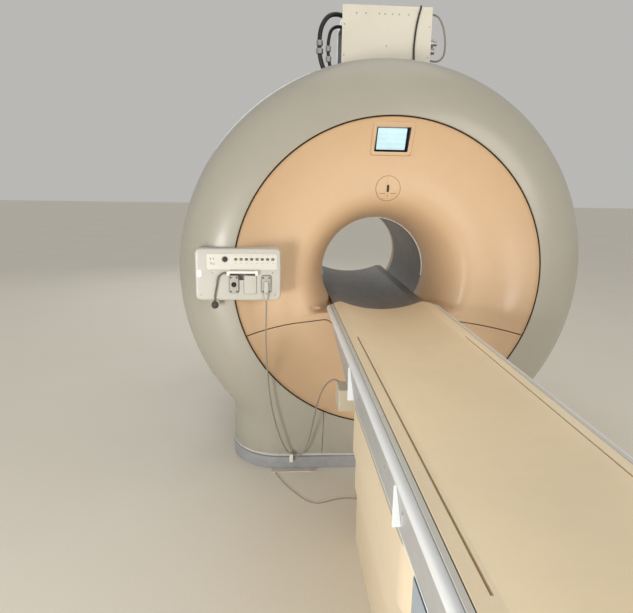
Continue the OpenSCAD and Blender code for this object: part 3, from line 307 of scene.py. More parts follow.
# Colour, roughness, scale, depth of the brushed lines and tarnish, then how far it is metal
METALS = {
    "base_steel": ((120, 122, 124), 0.5, (300, 12, 300), 0.3, 0.5),
    "vessel_steel": ((176, 178, 180), 0.32, (8, 500, 500), 0.2, 0.2),
    "turret_steel": ((168, 170, 172), 0.4, (400, 400, 10), 0.3, 0.35),
    "cold_head_steel": ((190, 192, 194), 0.28, (500, 500, 12), 0.3, 0.25),
    "pipe_steel": ((184, 184, 182), 0.35, (8, 8, 700), 0.3, 0.3),
    "band_grey": ((190, 192, 194), 0.42, (500, 6, 500), 0.2, 0.12, 0.4),
    "pulley_alu": ((196, 198, 200), 0.3, (12, 500, 500), 0.3, 0.2),
    "threshold_metal": ((224, 218, 204), 0.45, (8, 500, 500), 0.3, 0.15, 0.2),
    "screw_steel": ((176, 176, 172), 0.3, (900, 900, 900), 0.2, 0.2),
}


def make_screen():
    """Lit display: even pale light with faint panels, behind smooth glass."""
    tree, shader = principled("screen_lit")
    where = put(tree, "ShaderNodeTexCoord").outputs["Object"]
    height = put(tree, "ShaderNodeSeparateXYZ", {0: where}).outputs[2]
    fade = spread(tree, height, 1.68, 1.80, 0.98, 1.10)
    rows = put(tree, "ShaderNodeTexWave", {"Vector": where, "Scale": 14.0, "Distortion": 0.0},
               wave_type="BANDS", bands_direction="Z").outputs["Fac"]
    step = spread(tree, rows, 0.93, 1.0, 1.0, 0.90)
    glow = mix_colour(tree, 1.0, linear(206, 236, 240), (1, 1, 1, 1), "MULTIPLY")
    cloud = noise(tree, where, 25.0, 2.0)
    power = sums(tree, "MULTIPLY", sums(tree, "MULTIPLY", fade, step),
                 spread(tree, cloud, 0.3, 0.7, 0.96, 1.04))
    shader.inputs["Base Color"].default_value = linear(60, 80, 86)
    shader.inputs["Roughness"].default_value = 0.12
    tree.links.new(glow, shader.inputs["Emission Color"])
    tree.links.new(power, shader.inputs["Emission Strength"])


def make_floor():
    """Pale sheet flooring with a faint fleck."""
    tree, shader = principled("floor_pale")
    where = put(tree, "ShaderNodeTexCoord").outputs["Object"]
    fleck = spread(tree, noise(tree, where, 90.0, 4.0, 0.7), 0.4, 0.7, 0.0, 1.0)
    cloud = spread(tree, noise(tree, where, 1.3, 4.0, 0.6), 0.3, 0.7, 0.0, 1.0)
    shade = mix_colour(tree, sums(tree, "MULTIPLY", fleck, 0.10), linear(236, 229, 214), linear(200, 192, 176))
    shade = mix_colour(tree, sums(tree, "MULTIPLY", cloud, 0.10), shade, linear(214, 206, 190))
    tree.links.new(shade, shader.inputs["Base Color"])
    tree.links.new(spread(tree, cloud, 0.0, 1.0, 0.42, 0.55), shader.inputs["Roughness"])


def make_lamp():
    """A small lit window behind frosted plastic."""
    tree, shader = principled("lamp_white")
    where = put(tree, "ShaderNodeTexCoord").outputs["Object"]
    cloud = spread(tree, noise(tree, where, 60.0, 2.0), 0.3, 0.7, 0.75, 0.95)
    shader.inputs["Base Color"].default_value = linear(240, 238, 228)
    shader.inputs["Roughness"].default_value = 0.35
    shader.inputs["Emission Color"].default_value = linear(255, 250, 236)
    tree.links.new(cloud, shader.inputs["Emission Strength"])


for slot_name, look in PLASTICS.items():
    plastic(slot_name, *look)
for slot_name, look in METALS.items():
    metal(slot_name, *look)
make_screen()
make_floor()
make_lamp()


# ---------------------------------------------------------------- mesh helpers
def add_object(name, mesh):
    made = bpy.data.objects.new(name, mesh)
    bpy.context.scene.collection.objects.link(made)
    return made


def mesh_object(name, verts, faces):
    mesh = bpy.data.meshes.new(name)
    mesh.from_pydata([tuple(map(float, v)) for v in verts], [], faces)
    mesh.update()
    return add_object(name, mesh)


def grid_object(name, rows, wrap=False, flip=False, cap_first=False, cap_last=False):
    """A surface through rows of points; wrap joins the last column to the first."""
    rows = np.asarray(rows, float)
    count, width = rows.shape[:2]
    faces = []
    for i in range(count - 1):
        for j in range(width if wrap else width - 1):
            k = (j + 1) % width
            face = [i * width + j, i * width + k, (i + 1) * width + k, (i + 1) * width + j]
            faces.append(face[::-1] if flip else face)
    if cap_first:
        ring = list(range(width))
        faces.append(ring if flip else ring[::-1])
    if cap_last:
        ring = list(range((count - 1) * width, count * width))
        faces.append(ring[::-1] if flip else ring)
    return mesh_object(name, rows.reshape(-1, 3), faces)


def bake(obj):
    """The mesh that the modifiers make, with the modifiers gone."""
    bpy.context.view_layer.update()
    graph = bpy.context.evaluated_depsgraph_get()
    mesh = bpy.data.meshes.new_from_object(obj.evaluated_get(graph))
    obj.modifiers.clear()
    old, obj.data = obj.data, mesh
    bpy.data.meshes.remove(old)
    return obj


def thicken(obj, thickness, offset=-1):
    """Gives a surface a wall, on its inner side unless told otherwise."""
    made = obj.modifiers.new("wall", "SOLIDIFY")
    made.thickness = thickness
    made.offset = offset
    made.use_even_offset = True
    return bake(obj)


def cut(obj, *tools, operation="DIFFERENCE"):
    """Takes the tools out of the object, one after another, and deletes them."""
    for tool in tools:
        made = obj.modifiers.new("cut", "BOOLEAN")
        made.operation = operation
        made.solver = "EXACT"
        made.object = tool
        bake(obj)
        bpy.data.objects.remove(tool)


def bevel(obj, width, segments=2):
    """Rounds the edges that turn by more than 35 degrees."""
    made = obj.modifiers.new("edge", "BEVEL")
    made.width = width
    made.segments = segments
    made.limit_method = "ANGLE"
    made.angle_limit = math.radians(35)
    made.use_clamp_overlap = True
    return bake(obj)


def split(obj, point, normal, clear=False):
    """Divides the faces at a plane; with clear, what lies on the normal's side goes."""
    work = bmesh.new()
    work.from_mesh(obj.data)
    bmesh.ops.bisect_plane(work, geom=work.verts[:] + work.edges[:] + work.faces[:], plane_co=point,
                           plane_no=normal, clear_outer=clear)
    work.to_mesh(obj.data)
    work.free()


def drop_faces(obj, inside):
    """Deletes the faces whose middle the test accepts."""
    work = bmesh.new()
    work.from_mesh(obj.data)
    gone = [f for f in work.faces if inside(f.calc_center_median())]
    bmesh.ops.delete(work, geom=gone, context="FACES")
    work.to_mesh(obj.data)
    work.free()


def skin(obj, slot, angle=32):
    """Material, and smooth shading up to an angle."""
    mesh = obj.data
    mesh.materials.clear()
    mesh.materials.append(MATERIALS[slot])
    mesh.polygons.foreach_set("material_index", [0] * len(mesh.polygons))
    mesh.shade_smooth()
    mesh.set_sharp_from_angle(angle=math.radians(angle))


def finish_piece(obj, slot, *nodes, body="scanner", angle=32):
    """Look and body of a piece. The CAD nodes that it stands for are hidden."""
    skin(obj, slot, angle)
    if nodes:
        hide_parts(*nodes)
    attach(obj, body)


def joined(name, parts):
    """One mesh from several, in place."""
    work = bmesh.new()
    for part in parts:
        work.from_mesh(part.data)
    mesh = bpy.data.meshes.new(name)
    work.to_mesh(mesh)
    work.free()
    for part in parts:
        bpy.data.objects.remove(part)
    return add_object(name, mesh)


def rounded(cx, cz, w, h, r, n=8):
    """Outline of a rounded rectangle, counterclockwise."""
    points = []
    for sx, sz, start in ((1, 1, 0), (-1, 1, 90), (-1, -1, 180), (1, -1, 270)):
        for k in range(n + 1):
            a = math.radians(start + 90 * k / n)
            points.append((cx + sx * (w / 2 - r) + r * math.cos(a), cz + sz * (h / 2 - r) + r * math.sin(a)))
    return points


def oval(cx, cz, rx, rz, n):
    """Outline of an ellipse, counterclockwise."""
    turns = [2 * math.pi * k / n for k in range(n)]
    return [(cx + rx * math.cos(a), cz + rz * math.sin(a)) for a in turns]


def at_depth(outline, y):
    """An outline's points (x, z) at one depth."""
    return [(x, y, z) for x, z in outline]


def prism(name, outline, low, high, axis="y"):
    """An outline extruded along an axis: (x, z) along y, (x, y) along z."""
    def place(p, t):
        return (p[0], t, p[1]) if axis == "y" else (p[0], p[1], t)
    return grid_object(name, [[place(p, low) for p in outline], [place(p, high) for p in outline]],
                       wrap=True, flip=axis == "y", cap_first=True, cap_last=True)


def block(name, low, high, round_by):
    """A box between two corners, with rounded edges."""
    outline = [(low[0], low[1]), (high[0], low[1]), (high[0], high[1]), (low[0], high[1])]
    return bevel(prism(name, outline, low[2], high[2], "z"), round_by)


def soft_prism(name, cx, cz, w, h, r, front, back, fillet, n=8):
    """A pad that faces -Y, with a rounded front edge. back may be a function of x and z."""
    rows = []
    for k in range(7):
        a = math.radians(15 * k)
        inset = fillet * (1 - math.sin(a))
        rows.append(at_depth(rounded(cx, cz, w - 2 * inset, h - 2 * inset, max(r - inset, 0.0003), n),
                             front + fillet * (1 - math.cos(a))))
    edge = rounded(cx, cz, w, h, r, n)
    rows.append([(x, back(x, z) if callable(back) else back, z) for x, z in edge])
    return grid_object(name, rows, wrap=True, flip=True, cap_first=True, cap_last=True)


def lathe(name, profile, centre, axis="z", n=48):
    """A body of revolution from (radius, height) points about an axis through centre."""
    rows = []
    for r, t in profile:
        row = []
        for k in range(n):
            a = 2 * math.pi * k / n
            u, v = r * math.cos(a), r * math.sin(a)
            offset = {"z": (u, v, t), "y": (v, t, u), "x": (t, u, v)}[axis]
            row.append([centre[i] + offset[i] for i in range(3)])
        rows.append(row)
    return grid_object(name, rows, wrap=True, flip=profile[0][1] > profile[-1][1], cap_first=True,
                       cap_last=True)


def dress(node, slot, body="scanner", round_by=0.0015, segments=2):
    """A finished copy of a CAD node: joined faces, rounded edges, smooth shading."""
    weld, flat = 1e-5, math.radians(0.3)
    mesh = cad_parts[node].data.copy()
    mesh.name = node + "_finish"
    for extra in [a.name for a in mesh.attributes if a.name.startswith("custom_normal")]:
        mesh.attributes.remove(mesh.attributes[extra])
    made = add_object(node + "_finish", mesh)
    work = bmesh.new()
    work.from_mesh(mesh)
    bmesh.ops.remove_doubles(work, verts=work.verts[:], dist=weld)
    bmesh.ops.dissolve_limit(work, angle_limit=flat, verts=work.verts[:], edges=work.edges[:])
    work.to_mesh(mesh)
    work.free()
    bevel(made, round_by, segments)
    skin(made, slot)
    even = made.modifiers.new("even shading", "WEIGHTED_NORMAL")
    even.keep_sharp = True
    even.weight = 80
    bake(made)
    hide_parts(node)
    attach(made, body)


# ------------------------------------------------------------- geometry nodes
def make_scatter():
    """Copies of a small part on given points, each with its own small turn."""
    tree, given, out = new_group("set_out_copies", "GeometryNodeTree", [
        ("Points", "NodeSocketGeometry", None), ("Part", "NodeSocketObject", None),
        ("Turn About", "NodeSocketVector", (0, 1, 0)), ("Largest Turn", "NodeSocketFloat", 3.0),
        ("Size Spread", "NodeSocketFloat", 0.02), ("Seed", "NodeSocketInt", 1),
        ("Material", "NodeSocketMaterial", None)], [("Geometry", "NodeSocketGeometry")])
    part = put(tree, "GeometryNodeObjectInfo", {"Object": given.outputs["Part"]})
    turn = put(tree, "FunctionNodeRandomValue", {2: 0.0, 3: given.outputs["Largest Turn"],
                                                 "Seed": given.outputs["Seed"]}, data_type="FLOAT")
    spin = put(tree, "FunctionNodeAxisAngleToRotation", {"Axis": given.outputs["Turn About"],
                                                          "Angle": turn.outputs[1]})
    grow = put(tree, "FunctionNodeRandomValue", {2: sums(tree, "SUBTRACT", 1.0, given.outputs["Size Spread"]),
                                                 3: sums(tree, "ADD", 1.0, given.outputs["Size Spread"]),
                                                 "Seed": given.outputs["Seed"]}, data_type="FLOAT")
    copies = put(tree, "GeometryNodeInstanceOnPoints", {"Points": given.outputs["Points"],
                                                        "Instance": part.outputs["Geometry"],
                                                        "Rotation": spin.outputs[0], "Scale": grow.outputs[1]})
    real = put(tree, "GeometryNodeRealizeInstances", {"Geometry": copies.outputs[0]})
    done = put(tree, "GeometryNodeSetMaterial", {"Geometry": real.outputs[0],
                                                 "Material": given.outputs["Material"]})
    return give_out(tree, out, Geometry=done.outputs[0])


SCATTER = make_scatter()
FULL_TURN = 6.28


def scatter(name, points, part, slot, about=(0, 1, 0), seed=1):
    """A plain mesh of copies of part at the points, each turned its own way about an axis."""
    made = mesh_object(name, points, [])
    step = made.modifiers.new("copies", "NODES")
    step.node_group = SCATTER
    values = {"Part": part, "Turn About": about, "Largest Turn": FULL_TURN, "Size Spread": 0.02, "Seed": seed,
              "Material": MATERIALS[slot]}
    for item in SCATTER.interface.items_tree:
        if item.in_out == "INPUT" and item.name in values:
            step[item.identifier] = values[item.name]
    bake(made)
    bpy.data.objects.remove(part)
    return made


def screw_part(radius, height, axis="y", side=-1):
    """A pan-head screw at the origin whose head stands along side of the axis."""
    profile = [(radius, 0), (radius, side * height * 0.45), (radius * 0.86, side * height * 0.85),
               (radius * 0.6, side * height), (radius * 0.3, side * height),
               (radius * 0.26, side * height * 0.45)]
    return lathe("screw_part", profile, (0, 0, 0), axis, 20)


# --------------------------------------------------------------- front and rear
def smooth_max(a, b, k):
    """The larger of two, with a soft change over k where they meet."""
    h = max(k - abs(a - b), 0.0) / k
    return max(a, b) + h * h * k / 4


def shoulder_distance(end, a):
    """Distance from the corner point of a ring cover's section to its skin, at an angle from forward."""
    s, c = math.sin(a), math.cos(a)
    start = end["reach"] - SHOULDER - end["centre"]
    wide = RING_R - SEAM_R
    # quarter ellipse ahead of the straight part
    qa = (s / wide) ** 2 + (c / SHOULDER) ** 2
    qb = -2 * start * c / SHOULDER ** 2
    qc = (start / SHOULDER) ** 2 - 1
    reach = (-qb + math.sqrt(max(qb * qb - 4 * qa * qc, 0))) / (2 * qa)
    if reach * c < start:
        reach = wide / max(s, 1e-6)
    return reach


def plan_distance(x, f, end):
    """Signed distance of a plan point from the pedestal's rounded outline."""
    qx, qf = abs(x) - (PEDESTAL_HALF - PEDESTAL_R), f - (end["pedestal"] - PEDESTAL_R)
    return math.hypot(max(qx, 0), max(qf, 0)) + min(max(qx, qf), 0) - PEDESTAL_R


def pedestal_distance(end, t, a):
    """Distance along the same ray to the pedestal's skin, or 0 where the ring stands free of it."""
    free_above, farthest, halvings = -0.30, 1.2, 26
    if math.sin(t) > free_above or plan_distance(SEAM_R * math.cos(t), end["centre"], end) > 0:
        return 0.0
    low, high = 0.0, farthest
    for _ in range(halvings):
        mid = (low + high) / 2
        x = (SEAM_R + mid * math.sin(a)) * math.cos(t)
        if plan_distance(x, end["centre"] + mid * math.cos(a), end) > 0:
            high = mid
        else:
            low = mid
    return low


def ring_surface(name, end, columns=320):
    """Outer skin of a ring cover blended into its pedestal, open at the seam, with a web at the back."""
    gap = SEAM_R + VISIBLE_GAP
    lip = [(gap + 0.0004, end["reach"] - LIP_DEPTH), (gap, end["reach"] - 0.0045),
           (gap + 0.0008, end["reach"] - 0.0018), (gap + 0.0024, end["reach"] - 0.0004)]
    angles = [math.radians(v) for v in np.linspace(1.2, 90, 46)]
    sections = []
    for j in range(columns):
        t = 2 * math.pi * (j + 0.5) / columns
        section = list(lip)
        for a in angles:
            d = shoulder_distance(end, a)
            p = pedestal_distance(end, t, a)
            if p > 0:
                d = smooth_max(d, p, PEDESTAL_BLEND)
            section.append((SEAM_R + d * math.sin(a), end["centre"] + d * math.cos(a)))
        last = section[-1][0]
        section += [(last, end["back"] + EDGE_ROUND), (last - EDGE_ROUND, end["back"]),
                    (last - BACK_WEB, end["back"])]
        sections.append([(r * math.cos(t), end["side"] * f, RING_H + r * math.sin(t)) for r, f in section])
    return grid_object(name, list(zip(*sections)), wrap=True, flip=end["side"] < 0)


def ring_covers():
    """The grey covers. The front one is divided at the upright joints of its skirt."""
    def above_plinth(name, end):
        made = ring_surface(name, end)
        split(made, (0, 0, PLINTH), (0, 0, -1), clear=True)
        return made

    def front_part(name, joint, unwanted):
        made = above_plinth(name, FRONT)
        for x in (-joint, joint):
            split(made, (x, 0, 0), (1, 0, 0))
        drop_faces(made, unwanted)
        return thicken(made, WALL)

    outside, within = SKIRT_HALF + VISIBLE_GAP / 2, SKIRT_HALF - VISIBLE_GAP / 2
    main = front_part("front_ring_cover_finish", outside, lambda c: abs(c.x) < outside and c.z < RING_H)
    finish_piece(main, "ring_shell", "front_ring_cover", angle=40)
    middle = front_part("front_skirt_cover_finish", within, lambda c: abs(c.x) > within or c.z > RING_H)
    finish_piece(middle, "ring_shell", "front_skirt_cover", angle=40)
    # A light strip over the plinth: a painted highlight of the plinth's lit top.
    highlight_strip = ring_surface("plinth_trim", FRONT)
    for point, normal in (((0, 0, PLINTH + HIGHLIGHT_LOW), (0, 0, -1)), ((0, 0, PLINTH + HIGHLIGHT_HIGH), (0, 0, 1)),
                          ((0, SIDE_COVER_Y, 0), (0, 1, 0))):
        split(highlight_strip, point, normal, clear=True)
    finish_piece(thicken(highlight_strip, HIGHLIGHT_WALL, 1), "plinth_highlight", angle=40)
    rear = above_plinth("rear_ring_cover_finish", REAR)
    finish_piece(thicken(rear, WALL), "ring_shell", "rear_ring_cover", angle=40)


def panel_surface(name, end, ledge, columns=300):
    """Inner face of a panel, its wall goes outward: flared mouth, flat middle, shallow dish and rolled rim."""
    flat, reach = end["flat"] - PANEL_WALL, end["reach"] - PANEL_WALL
    depth = flat - THROAT
    bend = flat - LEDGE_FILLET
    crisp = 0.06        # from the throat to here the ledge meets the flare in a crisp line
    forward = [THROAT + depth * math.sin(math.radians(3 * k)) for k in range(26)]
    forward = [f for f in forward if f < bend - 0.002]
    forward += [bend + LEDGE_FILLET * math.sin(math.radians(10 * k)) for k in range(10)]
    rows = []
    angles = [2 * math.pi * (j + 0.5) / columns for j in range(columns)]
    for f in forward:
        a = math.asin(min((f - THROAT) / depth, 1.0))
        radius = MOUTH_R + PANEL_WALL - (MOUTH_R - BORE_R) * math.cos(a)
        over = f - bend
        drop = LEDGE_FILLET - math.sqrt(max(LEDGE_FILLET ** 2 - over ** 2, 0)) if over > 0 else 0.0
        floor = LEDGE - PANEL_WALL - drop
        u = min(max((f - THROAT - crisp) / (depth - crisp), 0.0), 1.0)
        blend = u * u * (3 - 2 * u)
        row = []
        for t in angles:
            z = BORE_H + radius * math.sin(t)
            if ledge:
                z = smooth_max(z, floor, 0.002 + 0.045 * blend)
            row.append((radius * math.cos(t), end["side"] * f, z))
        rows.append(row)
    inner = rows[-1]
    for k in range(1, 13):
        u = k / 12
        rows.append([((1 - u) * p[0] + u * FLAT_R * math.cos(t), end["side"] * flat,
                      (1 - u) * p[2] + u * (RING_H + FLAT_R * math.sin(t))) for p, t in zip(inner, angles)])
    rim = SEAM_R - VISIBLE_GAP - PANEL_WALL
    top = reach - 0.0022
    dish = []
    for k in range(1, 25):
        r = FLAT_R + (rim - 0.0025 - FLAT_R) * (k / 24)
        dish.append((r, flat + (reach - flat) * ((r - FLAT_R) / (SEAM_R - FLAT_R)) ** 2))
    for r, f in dish + [(rim - 0.0008, top - 0.0008), (rim, top - 0.0028), (rim, reach - LIP_DEPTH)]:
        rows.append([(r * math.cos(t), end["side"] * f, RING_H + r * math.sin(t)) for t in angles])
    return grid_object(name, rows, wrap=True, flip=end["side"] > 0)


FLAP_EDGE = [(-0.780, 0.7517), (-0.316, 0.811), (-0.298, 0.810), (-0.286, 0.804), (-0.251, 0.773),
             (-0.243, 0.768), (0.243, 0.768), (0.251, 0.773), (0.286, 0.804), (0.298, 0.810), (0.316, 0.811),
             (0.780, 0.7517)]


def flap_prism(shift):
    """The room under the flap's top edge, with the edge shifted up."""
    outline = [(x, z + shift) for x, z in reversed(FLAP_EDGE)]
    return prism("flap_tool", [(-0.80, 0.20), (0.80, 0.20)] + outline, -0.95, -0.765)


def channel_tool():
    """The room of the bore bridge, cut through the ledge."""
    start = math.asin((CHANNEL_LOW - BORE_H) / BORE_R)
    turns = [start + (math.pi - 2 * start) * k / 60 for k in range(61)]
    outline = [(BORE_R * math.cos(a), BORE_H + BORE_R * math.sin(a)) for a in turns]
    return prism("channel_tool", outline, -0.93, -0.36)


def front_height(x, z):
    """Forward reach of the front skin at a point of the front view."""
    r = math.hypot(x, z - RING_H)
    if r <= FLAT_R:
        return FRONT["flat"]
    if r <= SEAM_R:
        return FRONT["flat"] + DISH_DEPTH * ((r - FLAT_R) / (SEAM_R - FLAT_R)) ** 2
    u = min((r - SEAM_R) / (RING_R - SEAM_R), 1.0)
    return FRONT["reach"] - SHOULDER + SHOULDER * math.sqrt(max(1 - u * u, 0))


def front_panels():
    """The cream panel with its flap parted off, the dark strip painted as shade in its seam, and the rear
    panel.
    """
    upper = thicken(panel_surface("front_panel_finish", FRONT, True), PANEL_WALL)
    lower = upper.copy()
    lower.data = upper.data.copy()
    lower.name = "lower_front_panel_finish"
    bpy.context.scene.collection.objects.link(lower)
    lens = lathe("lens_tool", [(LIGHT_HOLE_R, -0.86), (LIGHT_HOLE_R, -0.72)], (0, 0, LIGHT_Z), "y", 64)
    pocket = prism("pocket_tool", rounded(0, DISPLAY_Z, 0.2055, 0.1495, 0.0125), -0.95, -0.70)
    cut(upper, flap_prism(VISIBLE_GAP), channel_tool(), pocket, lens)
    finish_piece(upper, "panel_cream", "front_panel", angle=30)
    cut(lower, flap_prism(-VISIBLE_GAP), operation="INTERSECT")
    finish_piece(lower, "panel_cream", "lower_front_panel", angle=30)
    # A dark ring at the bottom of the seam's gap: painted shade.
    half, front, back = VISIBLE_GAP + 0.0008, -0.9180, -0.9130
    corners = ((-1, front), (1, front), (1, back), (-1, back), (-1, front))
    rows = []
    for side, y in corners:
        radius = SEAM_R + side * half
        rows.append(at_depth(oval(0, RING_H, radius, radius, 240), y))
    finish_piece(grid_object("seam_strip", rows, wrap=True), "gap_shade_dark")
    rear = thicken(panel_surface("rear_panel_finish", REAR, False), PANEL_WALL)
    finish_piece(rear, "panel_cream", "rear_panel", angle=30)


def ledge_lips():
    """A low soft rib on the flat above each end of the flap's top edge, and a dim oval dimple over it."""
    ribs, dimples = [], []
    for side in (-1, 1):
        rows = []
        for k in range(41):
            u = k / 40
            x, z = 0.292 + 0.150 * u, 0.8440 - 0.0110 * u - 0.004 * u * u
            size = 0.0062 * (1 - u) ** 0.6 + 0.0004
            row = []
            for m in range(12):
                a = 2 * math.pi * m / 12
                height = z + size * math.sin(a)
                row.append((side * x, -front_height(x, height) - 0.0012 - 0.45 * size * math.cos(a), height))
            rows.append(row)
        ribs.append(grid_object("rib", rows, wrap=True, flip=side < 0, cap_first=True, cap_last=True))
        dimples.append(prism("dimple", oval(side * 0.358, 0.876, 0.026, 0.0075, 40), -FRONT["flat"] - 0.0006,
                             -FRONT["flat"] + 0.001))
    finish_piece(joined("ledge_ribs", ribs), "panel_cream", angle=60)
    finish_piece(joined("ledge_dimples", dimples), "dimple_shade")


def display():
    """Low cream rim on the dish, a deep black box behind it and the lit screen, tilted with the dish."""
    outer_z = 1.7365    # the rim's outer edge stands a little higher than the opening

    def tilted(z, back):
        return -0.832 + (1.7895 - z) * 0.4433 + back

    # width, height, corner and lift over the dish, from the opening outward
    rows = [[(x, -front_height(x, z) - lift, z) for x, z in rounded(0, middle, w, h, r, 10)]
            for w, h, r, lift, middle in (
                (0.1690, 0.1130, 0.0050, -0.0075, DISPLAY_Z), (0.1680, 0.1120, 0.0050, 0.0016, DISPLAY_Z),
                (0.1692, 0.1132, 0.0058, 0.0028, DISPLAY_Z), (0.1715, 0.1155, 0.0070, 0.0033, DISPLAY_Z),
                (0.1985, 0.1465, 0.0120, 0.0033, outer_z), (0.2020, 0.1500, 0.0140, 0.0028, outer_z),
                (0.2038, 0.1518, 0.0148, 0.0016, outer_z), (0.2045, 0.1525, 0.0150, -0.0075, outer_z))]
    rim = grid_object("display_frame_finish", rows + [rows[0]], wrap=True)
    finish_piece(rim, "panel_cream", "display_frame", angle=50)
    outline = rounded(0, DISPLAY_Z, 0.1676, 0.1116, 0.0048, 8)
    box = grid_object("display_bezel_finish", [[(x, -front_height(x, z) + 0.0010, z) for x, z in outline],
                                               [(x, tilted(z, 0.004), z) for x, z in outline]],
                      wrap=True, cap_last=True)
    finish_piece(thicken(box, 0.0015), "bezel_black", "display_bezel")
    rows = []
    for back, inset in ((0.0035, 0), (0.0008, 0), (0.0, 0.0012)):
        edge = rounded(0.002, 1.7390, 0.1440 - inset, 0.0995 - inset, 0.003, 6)
        rows.append([(x, tilted(z, back), z) for x, z in edge])
    finish_piece(grid_object("display_screen_finish", rows, wrap=True, cap_first=True, cap_last=True),
                 "screen_lit", "display_screen")


def light_point(x, z, lift):
    """A point over the panel's flat or over its flare, raised by lift."""
    r = math.hypot(x, z - BORE_H)
    behind = 0.0
    if r < MOUTH_R:
        c = (MOUTH_R - r) / (MOUTH_R - BORE_R)
        behind = (FRONT["flat"] - THROAT) * (1 - math.sqrt(max(1 - c * c, 0)))
    return x, -FRONT["flat"] + behind - lift, z


def alignment_light():
    """A disc flush with the flat and the flare, with a dark slot, three thin marks and a dark ring painted as
    the shade of the gap round it.
    """
    rows = []
    for k in range(1, 15):
        radius = LIGHT_R * math.sqrt(k / 14)
        lift = 0.0006 if k < 14 else 0.0
        rows.append([light_point(x, z, lift) for x, z in oval(0, LIGHT_Z, radius, radius, 96)])
    rows.append([(p[0], -0.7392, p[2]) for p in rows[-1]])
    disc = grid_object("alignment_light_finish", rows, wrap=True, flip=True, cap_first=True, cap_last=True)
    cut(disc, prism("slot_tool", rounded(0, LIGHT_Z, 0.013, 0.038, 0.006), -0.80, -0.769))
    finish_piece(disc, "light_disc", "alignment_light", angle=40)
    outlines = [rounded(x, LIGHT_Z - 0.025, 0.030, 0.0022, 0.0009, 4) for x in (-0.026, 0.026)]
    outlines.append(rounded(0, LIGHT_Z - 0.034, 0.006, 0.005, 0.002, 4))
    marks = [grid_object("mark", [[light_point(x, z, lift) for x, z in outline] for lift in (0.0005, 0.0012)],
                         wrap=True, cap_first=True, cap_last=True) for outline in outlines]
    finish_piece(joined("light_marks", marks), "icon_grey")
    # A dark ring over the gap round the disc: painted shade.
    rows = [[light_point(x, z, lift) for x, z in oval(0, LIGHT_Z, radius, radius, 96)] for radius, lift in
            ((0.0622, 0.0002), (0.0624, 0.0010), (0.0636, 0.0010), (0.0638, 0.0002), (0.0622, 0.0002))]
    finish_piece(grid_object("light_edge", rows, wrap=True), "gap_shade_dark")
    glass = prism("light_slot_glass", rounded(0, LIGHT_Z, 0.0125, 0.0375, 0.006), -0.7735, -0.7715)
    finish_piece(glass, "bezel_black")


# ---------------------------------------------------------------- control panel
PANEL = {"cx": -0.752, "cz": 1.082, "w": 0.412, "h": 0.254, "r": 0.026}
STRIP = {"cx": -0.733, "cz": 1.1455, "w": 0.3374, "h": 0.0764, "r": 0.006}
FACE = -0.965           # front of the panel
PAD_BACK = -0.9653      # pads stand on the panel's face
EDGE_FRONT, EDGE_BACK = -0.9662, -0.9654    # thin frames round the pads
MARK_BACK = -0.9655     # printed marks start here, behind the strip's front
TOOL_START = -0.98      # tools reach out of the panel to here
KEYS = range(1, 9)
KEY_Z = 1.158
BUTTON_X = -0.814
WELL_R = 0.0124         # round button's well
SOCKET_Z = 1.036
# Width and height of the plain stroke on a key, by turns
KEY_STROKES = ((0.0008, 0.0040), (0.0044, 0.0008), (0.0028, 0.0028))


def key_x(k):
    """Middle of a key."""
    return -0.762 + 0.0254 * (k - 1)


def turned(name, profile, x, z, n):
    """A lathed body about an axis that runs through the panel at x, z."""
    return lathe(name, profile, (x, 0, z), "y", n)


def key_wells(floor):
    """Tools for the round button's well and the eight key wells, down to their floor."""
    wells = [turned("well_tool", [(WELL_R, TOOL_START), (WELL_R, floor)], BUTTON_X, KEY_Z, 48)]
    for k in KEYS:
        wells.append(prism("well_tool", rounded(key_x(k), KEY_Z, 0.0148, 0.012, 0.0025, 4), TOOL_START, floor))
    return wells


